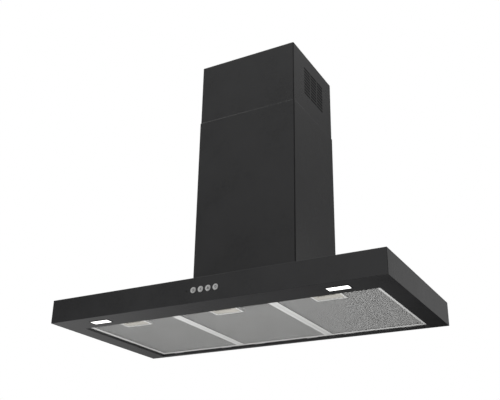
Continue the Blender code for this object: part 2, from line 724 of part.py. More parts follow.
def guide_front():
    return button_flange_back() + BUTTON_TRAVEL + GAP


def board_front():
    """The switch board's distance behind the front face, past the stem, its travel and the switch."""
    return button_flange_back() + STEM_LENGTH + BUTTON_TRAVEL + GAP + SWITCH_HEIGHT


def button():
    """A turned button: cap, the flange that keeps it in, and the stem that presses the switch."""
    flange_front = CANOPY_SHEET + GAP
    profile = [
        (0.0, -BUTTON_STANDS_OUT),
        (BUTTON_RADIUS - BUTTON_BEVEL, -BUTTON_STANDS_OUT),
        (BUTTON_RADIUS, -BUTTON_STANDS_OUT + BUTTON_BEVEL),
        (BUTTON_RADIUS, flange_front),
        (BUTTON_RADIUS + BUTTON_FLANGE, flange_front),
        (BUTTON_RADIUS + BUTTON_FLANGE, button_flange_back()),
        (STEM_RADIUS, button_flange_back()),
        (STEM_RADIUS, button_flange_back() + STEM_LENGTH),
        (0.0, button_flange_back() + STEM_LENGTH),
    ]
    return turned(profile, "Y", (0, 0, 0), ROUND)


def buttons(paint, body):
    first = None
    for number, x in enumerate(button_xs(), start=1):
        slide = pivot(f"button_{number}_slide", (x, FRONT, BUTTON_Z), body)
        if first:
            copy(first, f"button_{number}", slide)
            continue
        first = button()
        first.name = "button_1"
        first.data.name = "button"
        first.data.materials.append(paint)
        first.data.shade_smooth()
        first.data.set_sharp_from_angle(angle=SMOOTH_ANGLE)
        first.parent = slide


def switch_span():
    """The switch housing's left and right ends, round the indicator and the buttons."""
    return INDICATOR_X - SWITCH_HOUSING_MARGIN, button_xs()[-1] + SWITCH_HOUSING_MARGIN


def switch_housing(paint, body):
    left, right = switch_span()
    front, back = FRONT + CANOPY_SHEET + GAP, FRONT + board_front() - GAP
    half = SWITCH_HOUSING_HEIGHT / 2
    housing = blocks(((left, front, BUTTON_Z - half), (right, back, BUTTON_Z + half)))
    guide_back, past = guide_front() + STEM_GUIDE, board_front() + REACH
    cap, stem = BUTTON_RADIUS + BUTTON_FLANGE + GAP, STEM_RADIUS + GAP
    for x in button_xs():
        bore = [
            (0.0, 0.0),
            (cap, 0.0),
            (cap, guide_front()),
            (stem, guide_front()),
            (stem, guide_back),
            (SWITCH_ROOM, guide_back),
            (SWITCH_ROOM, past),
            (0.0, past),
        ]
        cut(housing, turned(bore, "Y", (x, FRONT, BUTTON_Z), SMALL_ROUND))
    collar, pipe = INDICATOR_RADIUS + INDICATOR_FLANGE + GAP, INDICATOR_RADIUS + GAP
    shoulder = button_flange_back() + GAP
    bore = [(0.0, 0.0), (collar, 0.0), (collar, shoulder), (pipe, shoulder), (pipe, past), (0.0, past)]
    cut(housing, turned(bore, "Y", (INDICATOR_X, FRONT, BUTTON_Z), SMALL_ROUND))
    finish(housing, "switch_housing", paint, body)


def switch_board(paint, body):
    """A circuit board with a small switch behind each button."""
    left, right = switch_span()
    front = FRONT + board_front()
    half = SWITCH_HOUSING_HEIGHT / 2 - BOARD_INSET
    low = (left + BOARD_INSET, front, BUTTON_Z - half)
    board = blocks((low, (right - BOARD_INSET, front + BOARD_THICKNESS, BUTTON_Z + half)))
    side = SWITCH_SIDE / 2
    switches = []
    for x in button_xs():
        corner = (x - side, front - SWITCH_HEIGHT, BUTTON_Z - side)
        switches.append((corner, (x + side, front + BOARD_THICKNESS / 2, BUTTON_Z + side)))
    join(board, blocks(*switches))
    finish(board, "switch_board", paint, body)


def indicator(paint, body):
    """A clear light pipe from the board to the front face."""
    flange_front = CANOPY_SHEET + GAP
    profile = [
        (0.0, -INDICATOR_STANDS_OUT),
        (INDICATOR_RADIUS, -INDICATOR_STANDS_OUT),
        (INDICATOR_RADIUS, flange_front),
        (INDICATOR_RADIUS + INDICATOR_FLANGE, flange_front),
        (INDICATOR_RADIUS + INDICATOR_FLANGE, button_flange_back()),
        (INDICATOR_RADIUS, button_flange_back()),
        (INDICATOR_RADIUS, board_front() - GAP),
        (0.0, board_front() - GAP),
    ]
    pipe = turned(profile, "Y", (INDICATOR_X, FRONT, BUTTON_Z), SMALL_ROUND)
    finish(pipe, "indicator_light_pipe", paint, body, smooth=True)


# Chimney


def cover_path(half, front, back):
    """The outer line of a cover, from one rear return round the front to the other, seen from above."""

    def corner(x, start):
        points = []
        for step in range(CORNER_STEPS + 1):
            angle = math.radians(start + 90.0 * step / CORNER_STEPS)
            y = front + CHIMNEY_CORNER
            points.append((x + CHIMNEY_CORNER * math.cos(angle), y + CHIMNEY_CORNER * math.sin(angle)))
        return points

    left = [(-half + CHIMNEY_RETURN, back), (-half, back)] + corner(-half + CHIMNEY_CORNER, 180.0)
    right = corner(half - CHIMNEY_CORNER, 270.0) + [(half, back), (half - CHIMNEY_RETURN, back)]
    return left + right


def lower_cover(paint, body):
    outline = strip(cover_path(CHIMNEY_HALF, CHIMNEY_FRONT, WALL), CHIMNEY_SHEET)
    cover = prism(outline, "Z", CANOPY_HEIGHT + GAP, LOWER_COVER_TOP)
    finish(cover, "lower_chimney_cover", paint, body, smooth=True)


def add_louvre_tongue(hoods, hollows, side, y, top):
    """The sheet drawn inwards from a slot: it slopes 45 degrees from the slot's top edge, with closed ends."""
    root = UPPER_HALF - CHIMNEY_SHEET / 2
    tip = UPPER_INNER_HALF - LOUVRE_TONGUE_REACH
    low = top - LOUVRE_TONGUE_SINK
    high = low + CHIMNEY_SHEET * math.sqrt(2.0)
    fall = root - tip
    outline = [(low - fall, side * root), (high, side * root), (high - fall, side * tip), (low - fall, side * tip)]
    half = LOUVRE_LENGTH / 2 + LOUVRE_CHEEK
    add_prism(hoods, outline, "Y", y - half, y + half)
    outside = side * (root + CHIMNEY_SHEET)
    bottom = low - fall - LOUVRE_TONGUE_DROP
    inmost = side * (tip - LOUVRE_TONGUE_DROP)
    outline = [(bottom, outside), (low, outside), (low, side * root), (bottom, inmost)]
    half = LOUVRE_LENGTH / 2 - LOUVRE_TONGUE_SINK
    add_prism(hollows, outline, "Y", y - half, y + half)


def upper_cover(paint, body):
    outline = strip(cover_path(UPPER_HALF, UPPER_FRONT, UPPER_BACK), CHIMNEY_SHEET)
    cover = prism(outline, "Z", UPPER_COVER_LOW, UPPER_COVER_TOP)
    column_pitch = LOUVRE_LENGTH + LOUVRE_BRIDGE
    middle = (UPPER_FRONT + UPPER_BACK) / 2 + LOUVRE_OFFSET
    first_y = middle - (LOUVRE_COLUMNS - 1) * column_pitch / 2
    slots = []
    hoods, hollows = bmesh.new(), bmesh.new()
    for row in range(LOUVRE_ROWS):
        top = UPPER_COVER_TOP - LOUVRE_BELOW_TOP - row * LOUVRE_PITCH
        for column in range(LOUVRE_COLUMNS):
            y = first_y + column * column_pitch
            for side in (-1, 1):
                x = side * (UPPER_HALF - CHIMNEY_SHEET / 2)
                low = (x - 2 * CHIMNEY_SHEET, y - LOUVRE_LENGTH / 2, top - LOUVRE_HEIGHT)
                slots.append((low, (x + 2 * CHIMNEY_SHEET, y + LOUVRE_LENGTH / 2, top)))
                add_louvre_tongue(hoods, hollows, side, y, top)
    cut(cover, blocks(*slots))
    join(cover, shape(hoods))
    cut(cover, shape(hollows))
    finish(cover, "upper_chimney_cover", paint, body, smooth=True)


def upper_bracket(paint, body):
    """A bent strip on the wall: a plate between the cover's returns, and an ear along each side inside it."""
    plate = UPPER_HALF - CHIMNEY_RETURN - BRACKET_CLEARANCE
    ear = UPPER_INNER_HALF - COVER_CLEARANCE
    jog = WALL - BRACKET_JOG - BRACKET_SHEET
    half = [(plate, WALL), (plate, jog + BRACKET_SHEET), (ear, jog + BRACKET_SHEET), (ear, jog - BRACKET_EAR)]
    path = [(-x, y) for x, y in half[::-1]] + half
    outline = strip(path[::-1], BRACKET_SHEET)
    top = UPPER_COVER_TOP - BRACKET_BELOW_TOP
    finish(prism(outline, "Z", top - BRACKET_HEIGHT, top), "upper_wall_bracket", paint, body)


# Blower


def hook_low():
    """Height of the arm of a hanging bracket."""
    return BOX_TOP - HOOK_BELOW_TOP


def hook_xs():
    return {"left": -BOX_HALF + HOOK_INSET, "right": BOX_HALF - HOOK_INSET}


def blower_box(paint, body):
    """A sheet box, open below, with a flange along each side and a hole for the scroll's outlet on top."""
    box = blocks(((-BOX_HALF, BOX_FRONT, BOX_LOW), (BOX_HALF, BOX_BACK, BOX_TOP)))
    flange_low = (-BOX_HALF - BOX_FLANGE, BOX_FRONT, BOX_LOW)
    join(box, blocks((flange_low, (BOX_HALF + BOX_FLANGE, BOX_BACK, BOX_LOW + BOX_SHEET))))
    inner_low = (-BOX_HALF + BOX_SHEET, BOX_FRONT + BOX_SHEET, BOX_LOW - REACH)
    cut(box, blocks((inner_low, (BOX_HALF - BOX_SHEET, BOX_BACK - BOX_SHEET, BOX_TOP - BOX_SHEET))))
    half = SCROLL_HALF_WIDTH - SCROLL_WALL
    outlet_low = (-half, OUTLET_FRONT, BOX_TOP - REACH)
    cut(box, blocks((outlet_low, (half, OUTLET_BACK, BOX_TOP + REACH))))
    slots = []
    for x in hook_xs().values():
        half = HOOK_WIDTH / 2 + HOOK_CLEARANCE
        low = (x - half, BOX_BACK - 2 * BOX_SHEET, hook_low() - HOOK_CLEARANCE)
        slots.append((low, (x + half, BOX_BACK + REACH, hook_low() + HOOK_SHEET + HOOK_LIP + HOOK_CLEARANCE)))
    cut(box, blocks(*slots))
    for x, y in screw_places():
        cut(box, rod(SCREW_RADIUS + SCREW_CLEARANCE, "Z", (x, y, BOX_LOW), -REACH, REACH))
    finish(box, "blower_box", paint, body)


def hanging_bracket(side, x, paint, body):
    """A hook of bent sheet: wall plate, arm through the box's slot, and a lip turned up inside the box."""
    arm = hook_low()
    left, right = x - HOOK_WIDTH / 2, x + HOOK_WIDTH / 2
    lip_back = BOX_BACK - BOX_SHEET - HOOK_CLEARANCE
    lip_front = lip_back - HOOK_SHEET
    wall_plate = blocks(((left, WALL - HOOK_SHEET, arm - HOOK_PLATE), (right, WALL, arm + HOOK_SHEET)))
    arm_sheet = blocks(((left, lip_front, arm), (right, WALL - HOOK_SHEET / 2, arm + HOOK_SHEET)))
    lip = blocks(((left, lip_front, arm + HOOK_SHEET / 2), (right, lip_back, arm + HOOK_LIP)))
    join(wall_plate, arm_sheet, lip)
    cut(wall_plate, rod(WALL_HOLE_RADIUS, "Y", (x, WALL, arm - HOOK_PLATE / 2), -REACH, REACH))
    finish(wall_plate, f"hanging_bracket_{side}", paint, body)


def scroll_outline(inset, outlet_top):
    """The spiral, less an inset, then the outlet's rear wall, mouth and front wall down to the tongue."""
    count = round((360.0 - SCROLL_TONGUE) / SCROLL_STEP)
    points = []
    for step in range(count + 1):
        share = step / count
        angle = math.radians(SCROLL_TONGUE + (360.0 - SCROLL_TONGUE) * share)
        radius = SCROLL_START_RADIUS + SCROLL_GROWTH * share + SCROLL_WALL - inset
        points.append((AXLE_Y + radius * math.cos(angle), AXLE_Z + radius * math.sin(angle)))
    front = OUTLET_FRONT - SCROLL_WALL + inset
    back = OUTLET_BACK + SCROLL_WALL - inset
    tongue = AXLE_Z + SCROLL_START_RADIUS * math.sin(math.radians(SCROLL_TONGUE))
    outlet = [(back, AXLE_Z), (back, outlet_top), (front, outlet_top), (front, tongue + SCROLL_WALL)]
    return points[1:-1] + outlet


def scroll_half(side, paint, body):
    """Half of the housing: a side wall with the inlet eye, and the curved wall up to the middle joint."""
    sign = -1 if side == "left" else 1
    top = BOX_TOP - BOX_SHEET - GAP
    ends = sorted((sign * SCROLL_HALF_WIDTH, sign * GAP / 2))
    half = prism(scroll_outline(0.0, top), "X", *ends)
    ends = sorted((sign * (SCROLL_HALF_WIDTH - SCROLL_WALL), -sign * REACH))
    cut(half, prism(scroll_outline(SCROLL_WALL, top + REACH), "X", *ends))
    middle = (sign * SCROLL_HALF_WIDTH, AXLE_Y, AXLE_Z)
    cut(half, rod(EYE_RADIUS, "X", middle, -REACH, REACH, ROUND))
    finish(half, f"scroll_housing_{side}", paint, body, smooth=True)


def blade_outline(angle):
    """A bent blade between the two radii, its tip leading its root, in the plane across the axle."""
    tip_radius = IMPELLER_RADIUS - BLADE_SINK
    root_radius = EYE_RADIUS + BLADE_SINK
    middle_radius = (tip_radius + root_radius) / 2
    middle_angle = angle + math.radians(BLADE_MIDDLE_LEAN)
    tip_angle = angle + math.radians(BLADE_LEAN)
    line = [(root_radius, angle), (middle_radius, middle_angle), (tip_radius, tip_angle)]
    path = [(AXLE_Y + r * math.cos(a), AXLE_Z + r * math.sin(a)) for r, a in line]
    return strip(path, BLADE_THICKNESS)


def impeller(paint, body):
    centre = (0, AXLE_Y, AXLE_Z)
    bore = SHAFT_RADIUS + GAP
    disc = DISC_THICKNESS / 2
    wheel = turned(
        [
            (bore, -HUB_BACK),
            (HUB_RADIUS, -HUB_BACK),
            (HUB_RADIUS, -disc),
            (IMPELLER_RADIUS, -disc),
            (IMPELLER_RADIUS, disc),
            (HUB_RADIUS, disc),
            (HUB_RADIUS, HUB_FRONT),
            (bore, HUB_FRONT),
        ],
        "X",
        centre,
        ROUND,
    )
    for side in (-1, 1):
        outer = side * IMPELLER_HALF_WIDTH
        inner = side * (IMPELLER_HALF_WIDTH - IMPELLER_RING)
        ring = [(EYE_RADIUS, outer), (IMPELLER_RADIUS, outer), (IMPELLER_RADIUS, inner), (EYE_RADIUS, inner)]
        join(wheel, turned(ring, "X", centre, ROUND))
    reach = IMPELLER_HALF_WIDTH - BLADE_SINK
    bm = bmesh.new()
    for number in range(BLADE_COUNT):
        add_prism(bm, blade_outline(math.tau * number / BLADE_COUNT), "X", -reach, reach)
    join(wheel, shape(bm))
    finish(wheel, "impeller", paint, body, smooth=True)


def motor(paints, body, spinning):
    centre = (0, AXLE_Y, AXLE_Z)
    bore = SHAFT_RADIUS + GAP
    rotor_room = ROTOR_RADIUS + ROTOR_AIR
    back = SCROLL_HALF_WIDTH
    can = [
        (bore, back),
        (bore, back - MOTOR_END_CAP),
        (rotor_room, back - MOTOR_END_CAP),
        (rotor_room, MOTOR_START),
        (MOTOR_RADIUS, MOTOR_START),
        (MOTOR_RADIUS, back),
    ]
    finish(turned(can, "X", centre, ROUND), "motor_stator", paints["motor"], body, smooth=True)
    start, end = MOTOR_START + ROTOR_INSET, back - MOTOR_END_CAP - ROTOR_INSET
    shaft = [
        (0.0, -HUB_BACK),
        (SHAFT_RADIUS, -HUB_BACK),
        (SHAFT_RADIUS, start),
        (ROTOR_RADIUS, start),
        (ROTOR_RADIUS, end),
        (SHAFT_RADIUS, end),
        (SHAFT_RADIUS, back),
        (0.0, back),
    ]
    finish(turned(shaft, "X", centre, ROUND), "motor_rotor", paints["steel"], spinning, smooth=True)
    # Three arms carry the motor from the rim of the right inlet eye.
    low, high = back + GAP, back + GAP + ARM_SHEET
    spider = rod(ARM_DISC_RADIUS, "X", centre, low, high, ROUND)
    reach = EYE_RADIUS + ARM_OVERLAP
    for number in range(ARM_COUNT):
        angle = math.tau * number / ARM_COUNT + math.pi / 2
        along = Vector((math.cos(angle), math.sin(angle)))
        across = Vector((-along.y, along.x)) * ARM_WIDTH / 2
        hub = Vector((AXLE_Y, AXLE_Z))
        corners = (hub - across, hub + along * reach - across, hub + along * reach + across, hub + across)
        join(spider, prism([tuple(corner) for corner in corners], "X", low, high))
    finish(spider, "motor_bracket", paints["steel"], body)


# Duct collar and flaps


def duct_collar(paint, body):
    inner = COLLAR_RADIUS - COLLAR_WALL
    stop_top = FLAP_AXIS_HEIGHT - FLAP_THICKNESS / 2 - GAP
    profile = [
        (inner, 0.0),
        (COLLAR_RADIUS, 0.0),
        (COLLAR_RADIUS, COLLAR_HEIGHT),
        (inner, COLLAR_HEIGHT),
        (inner, stop_top),
        (inner - FLAP_STOP, stop_top),
        (inner - FLAP_STOP, stop_top - COLLAR_WALL),
        (inner, stop_top - COLLAR_WALL),
    ]
    centre = (0, OUTLET_Y, COLLAR_LOW)
    collar = turned(profile, "Z", centre, ROUND)
    half = COLLAR_RADIUS + COLLAR_PLATE_MARGIN
    plate_low = (-half, OUTLET_FRONT - COLLAR_PLATE_MARGIN, COLLAR_LOW)
    plate = blocks((plate_low, (half, BOX_BACK - BOX_SHEET, COLLAR_LOW + COLLAR_PLATE)))
    cut(plate, rod(COLLAR_RADIUS - COLLAR_WALL / 2, "Z", centre, -REACH, REACH, ROUND))
    join(collar, plate)
    pin_hole = (0, OUTLET_Y, FLAP_AXIS_Z)
    cut(collar, rod(PIN_RADIUS + PIN_CLEARANCE, "Y", pin_hole, -2 * COLLAR_RADIUS, 2 * COLLAR_RADIUS))
    finish(collar, "duct_collar", paint, body, smooth=True)


def flap_pin(paint, body):
    reach = COLLAR_RADIUS + PIN_STANDS_OUT
    pin = rod(PIN_RADIUS, "Y", (0, OUTLET_Y, FLAP_AXIS_Z), -reach, reach)
    finish(pin, "flap_pin", paint, body, smooth=True)


def flap(side, paint, axis):
    """Half a disc with two knuckles on the pin. The other flap's knuckles take the places between."""
    sign = -1 if side == "left" else 1
    radius = COLLAR_RADIUS - COLLAR_WALL - FLAP_EDGE_CLEARANCE
    start = math.acos(FLAP_ROOT / radius)
    steps = ROUND // 2
    outline = []
    for step in range(steps + 1):
        angle = start - 2 * start * step / steps
        outline.append((sign * radius * math.cos(angle), OUTLET_Y + radius * math.sin(angle)))
    half = FLAP_THICKNESS / 2
    plate = prism(outline, "Z", FLAP_AXIS_Z - half, FLAP_AXIS_Z + half)
    bore = PIN_RADIUS + PIN_CLEARANCE
    knuckle = [
        (bore, -KNUCKLE_LENGTH / 2),
        (KNUCKLE_RADIUS, -KNUCKLE_LENGTH / 2),
        (KNUCKLE_RADIUS, KNUCKLE_LENGTH / 2),
        (bore, KNUCKLE_LENGTH / 2),
    ]
    for step in (-1, 1):
        y = OUTLET_Y + (step - sign / 2) * KNUCKLE_PITCH
        near, far = sorted((sign * (bore + KNUCKLE_RADIUS) / 2, sign * (FLAP_ROOT + FLAP_THICKNESS)))
        bridge_low = (near, y - KNUCKLE_LENGTH / 2, FLAP_AXIS_Z - half)
        join(plate, blocks((bridge_low, (far, y + KNUCKLE_LENGTH / 2, FLAP_AXIS_Z + half))))
        join(plate, turned(knuckle, "Y", (0, y, FLAP_AXIS_Z), SMALL_ROUND))
    finish(plate, f"flap_{side}", paint, axis)


# Electrics and screws


def electrics(paints, body):
    left = COLLAR_RADIUS + COLLAR_PLATE_MARGIN + CONTROL_CLEARANCE
    front = OUTLET_Y - CONTROL_DEPTH / 2
    low, lid = BOX_TOP + GAP, BOX_TOP + GAP + CONTROL_HEIGHT
    right, back = left + CONTROL_WIDTH, front + CONTROL_DEPTH
    wall = CONTROL_WALL
    case = blocks(((left, front, low), (right, back, lid)))
    cut(case, blocks(((left + wall, front + wall, low + wall), (right - wall, back - wall, lid + REACH))))
    finish(case, "control_box", paints["black_plastic"], body)
    inset = wall + GAP
    board_low = low + wall + GAP
    board = blocks(
        ((left + inset, front + inset, board_low), (right - inset, back - inset, board_low + BOARD_THICKNESS))
    )
    finish(board, "control_board", paints["board"], body)
    cover = blocks(((left, front, lid + GAP), (right, back, lid + GAP + wall)))
    middle = ((left + right) / 2, (front + back) / 2, lid + GAP)
    cut(cover, rod(GLAND_THREAD + GAP, "Z", middle, -REACH, REACH))
    finish(cover, "control_box_lid", paints["black_plastic"], body)
    gland = [
        (GLAND_BORE, -REACH),
        (GLAND_THREAD, -REACH),
        (GLAND_THREAD, wall + GAP),
        (GLAND_RADIUS, wall + GAP),
        (GLAND_RADIUS, GLAND_NUT),
        (GLAND_THREAD, GLAND_HEIGHT),
        (GLAND_BORE, GLAND_HEIGHT),
    ]
    finish(turned(gland, "Z", middle, SMALL_ROUND), "cable_gland", paints["black_plastic"], body, smooth=True)
    x = -left - CAPACITOR_RADIUS
    can = rod(CAPACITOR_RADIUS, "Z", (x, OUTLET_Y, low), 0.0, CAPACITOR_HEIGHT, ROUND)
    finish(can, "motor_capacitor", paints["aluminium"], body, smooth=True)


def box_screws(paint, body):
    """Pan-head screws, down through the blower box's flanges and the canopy's top."""
    head = BOX_LOW + BOX_SHEET + GAP
    profile = [
        (0.0, -SCREW_LENGTH),
        (SCREW_RADIUS, -SCREW_LENGTH),
        (SCREW_RADIUS, 0.0),
        (SCREW_HEAD_RADIUS, 0.0),
        (SCREW_HEAD_RADIUS, SCREW_HEAD / 2),
        (SCREW_CROWN_RADIUS, SCREW_HEAD),
        (0.0, SCREW_HEAD),
    ]
    for number, (x, y) in enumerate(screw_places(), start=1):
        screw = turned(profile, "Z", (x, y, head), SMALL_ROUND)
        finish(screw, f"box_screw_{number}", paint, body, smooth=True)


def main():
    clear_scene()
    black = material("black enamel", (0.012, 0.012, 0.013), 0.38)
    paints = {
        "black_plastic": material("black plastic", (0.02, 0.02, 0.02), 0.5),
        "filter_frame": material("filter frame aluminium", (0.66, 0.66, 0.66), 0.35, 1.0),
        "filter_mesh": material("filter mesh aluminium", (0.45, 0.45, 0.45), 0.5, 1.0),
        "latch": material("latch plastic", (0.42, 0.40, 0.36), 0.55),
        "spring": material("spring steel", (0.5, 0.5, 0.5), 0.3, 1.0),
        "steel": material("zinc-plated steel", (0.55, 0.56, 0.58), 0.4, 1.0),
        "galvanised": material("galvanised sheet", (0.5, 0.52, 0.53), 0.45, 1.0),
        "aluminium": material("aluminium can", (0.7, 0.7, 0.71), 0.35, 1.0),
        "motor": material("motor casing", (0.3, 0.3, 0.31), 0.5, 1.0),
        "scroll": material("scroll plastic", (0.1, 0.1, 0.105), 0.5),
        "impeller": material("impeller plastic", (0.05, 0.05, 0.055), 0.45),
        "board": material("circuit board", (0.02, 0.12, 0.05), 0.5),
        "lens": material("lamp lens", (0.95, 0.95, 0.93), 0.3),
        "button": material("satin button", (0.62, 0.62, 0.62), 0.35, 1.0),
        "clear": material("clear light pipe", (0.1, 0.1, 0.1), 0.15, 0.0, 0.6),
    }
    hood = pivot("hood", (0, 0, 0))
    canopy_shell(black, hood)
    underside_panel(black, hood)
    rear_panel(paints["galvanised"], hood)
    front_divider(paints["galvanised"], hood)
    filters(paints, hood)
    for side, x in zip(("left", "right"), lamp_xs()):
        lamp(side, x, paints, hood)
    buttons(paints["button"], hood)
    switch_housing(paints["black_plastic"], hood)
    switch_board(paints["board"], hood)
    indicator(paints["clear"], hood)
    lower_cover(black, hood)
    chimney_slide = pivot("upper_chimney_slide", (0, (UPPER_FRONT + UPPER_BACK) / 2, UPPER_COVER_LOW), hood)
    upper_cover(black, chimney_slide)
    upper_bracket(paints["steel"], chimney_slide)
    blower_box(paints["galvanised"], hood)
    for side, x in hook_xs().items():
        hanging_bracket(side, x, paints["steel"], hood)
    for side in ("left", "right"):
        scroll_half(side, paints["scroll"], hood)
    axle = pivot("impeller_axle", (0, AXLE_Y, AXLE_Z), hood)
    impeller(paints["impeller"], axle)
    motor(paints, hood, axle)
    duct_collar(paints["black_plastic"], hood)
    flap_pin(paints["steel"], hood)
    for side in ("left", "right"):
        axis = pivot(f"flap_{side}_axis", (0, OUTLET_Y, FLAP_AXIS_Z), hood)
        flap(side, paints["black_plastic"], axis)
    electrics(paints, hood)
    box_screws(paints["steel"], hood)


main()
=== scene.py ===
import json
import math

import bmesh
import bpy
from mathutils import Matrix, Vector

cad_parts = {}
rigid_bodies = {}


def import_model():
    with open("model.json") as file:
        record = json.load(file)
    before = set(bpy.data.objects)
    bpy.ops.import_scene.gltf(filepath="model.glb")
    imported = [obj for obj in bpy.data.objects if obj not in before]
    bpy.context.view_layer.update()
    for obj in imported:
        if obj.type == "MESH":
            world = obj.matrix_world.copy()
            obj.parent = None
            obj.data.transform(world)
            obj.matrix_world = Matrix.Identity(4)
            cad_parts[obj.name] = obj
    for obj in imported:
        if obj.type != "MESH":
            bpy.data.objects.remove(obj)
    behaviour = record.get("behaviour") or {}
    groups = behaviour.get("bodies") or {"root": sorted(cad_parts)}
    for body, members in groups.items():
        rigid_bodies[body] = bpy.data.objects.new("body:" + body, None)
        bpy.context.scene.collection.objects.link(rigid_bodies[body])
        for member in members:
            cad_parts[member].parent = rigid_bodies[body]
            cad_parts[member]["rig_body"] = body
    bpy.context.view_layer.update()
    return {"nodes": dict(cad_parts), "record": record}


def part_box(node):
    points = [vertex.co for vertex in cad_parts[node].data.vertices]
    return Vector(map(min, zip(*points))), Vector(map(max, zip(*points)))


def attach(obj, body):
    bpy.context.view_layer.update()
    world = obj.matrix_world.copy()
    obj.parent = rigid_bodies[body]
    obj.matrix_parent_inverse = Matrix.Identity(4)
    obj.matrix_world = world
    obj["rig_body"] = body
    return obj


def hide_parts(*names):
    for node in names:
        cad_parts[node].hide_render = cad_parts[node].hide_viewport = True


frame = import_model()

# The hood hangs on a wall that isn't drawn. Everything below is in metres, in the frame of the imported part.
nodes = frame["nodes"]
slotOf = {entry["node"]: entry["material_slot"] for entry in frame["record"]["subparts"]}
mm = 0.001


def say(stage):
    print("hood:", stage)


def boxOf(node):
    low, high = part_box(node)
    return low, high, (low + high) / 2


# Studio: camera, light and floor

studio = {
    "cameraPlace": (0.93039, -1.67299, -0.50671),
    "cameraTurn": 29.10,  # degrees round from the front, towards the hood's right
    "cameraRise": -23.95,  # it looks up at the hood
    "cameraRoll": 0.98,
    "lens": 55.886,
    "sensor": 36.0,
    "farthest": 50.0,
    "floorDrop": 2.6,  # below the canopy
    "floorSize": 24.0,
    "keyPlace": (-1.9, -2.3, 2.2),
    "keySize": (2.2, 2.2),
    "keyPower": 45.0,
    "softLight": 1.1,  # the room's even light
    "underPlace": (0.0, -0.34, -0.42),  # a low panel that lights the filters from the front
    "underSize": (1.2, 0.3),
    "underAim": (0.0, -0.1, 0.0),
    "underPower": 4.0,
    "glossOver": 0.8,
    "glossUnder": 0.12,
    "sidePlace": (0.66, 0.62, 0.26),  # a small panel that only the canopy's right side mirrors
    "sideSize": (0.30, 0.42),
    "sideAim": (0.50, 0.0, 0.05),
    "sidePower": 0.12,
}

# What the gloss sees round the horizon: degrees from the wall side, clockwise from above, and brightness
glossAbove = [
    (-180, 0.72), (-170, 0.70), (-160, 0.62), (-148, 0.42), (-136, 0.20), (-118, 0.15),
    (-90, 0.40), (-40, 0.35), (5, 0.06), (14, 0.06), (20, 0.10), (24, 0.30), (28, 0.50),
    (33, 0.50), (40, 0.10), (50, 0.02), (174, 0.02), (180, 0.4),
]
glossBelow = [
    (-180, 0.4), (-90, 0.62), (-50, 0.58), (-40, 0.36), (-33, 0.18), (-26, 0.13), (-20, 0.10), (-13, 0.01),
    (60, 0.01), (120, 0.2), (180, 0.4),
]


def makeCamera():
    turn, rise, roll = (math.radians(studio[key]) for key in ("cameraTurn", "cameraRise", "cameraRoll"))
    back = Vector((math.sin(turn) * math.cos(rise), -math.cos(turn) * math.cos(rise), math.sin(rise)))
    right = Vector((0, 0, 1)).cross(back).normalized()
    up = back.cross(right)
    tiltedRight = math.cos(roll) * right + math.sin(roll) * up
    tiltedUp = math.cos(roll) * up - math.sin(roll) * right
    data = bpy.data.cameras.new("camera")
    data.lens = studio["lens"]
    data.sensor_width = studio["sensor"]
    data.clip_end = studio["farthest"]
    camera = bpy.data.objects.new("camera", data)
    bpy.context.scene.collection.objects.link(camera)
    camera.matrix_world = Matrix.Translation(studio["cameraPlace"]) @ Matrix(
        (tiltedRight, tiltedUp, back)
    ).transposed().to_4x4()
    bpy.context.scene.camera = camera


# Node trees. Every finish is worked out from the piece's own coordinates.


def addNode(tree, kind, inputs=None, **settings):
    node = tree.nodes.new(kind)
    for name, value in settings.items():
        setattr(node, name, value)
    for key, value in (inputs or {}).items():
        if isinstance(value, bpy.types.NodeSocket):
            tree.links.new(value, node.inputs[key])
        else:
            node.inputs[key].default_value = value
    return node


def maths(tree, operation, first, second=0.0, clamp=False):
    sockets = {0: first, 1: second}
    return addNode(tree, "ShaderNodeMath", sockets, operation=operation, use_clamp=clamp).outputs[0]


# Maps low..high of a field onto newLow..newHigh, held at its ends.
def spread(tree, value, low, high, newLow, newHigh):
    sockets = {"Value": value, "From Min": low, "From Max": high, "To Min": newLow, "To Max": newHigh}
    return addNode(tree, "ShaderNodeMapRange", sockets).outputs["Result"]


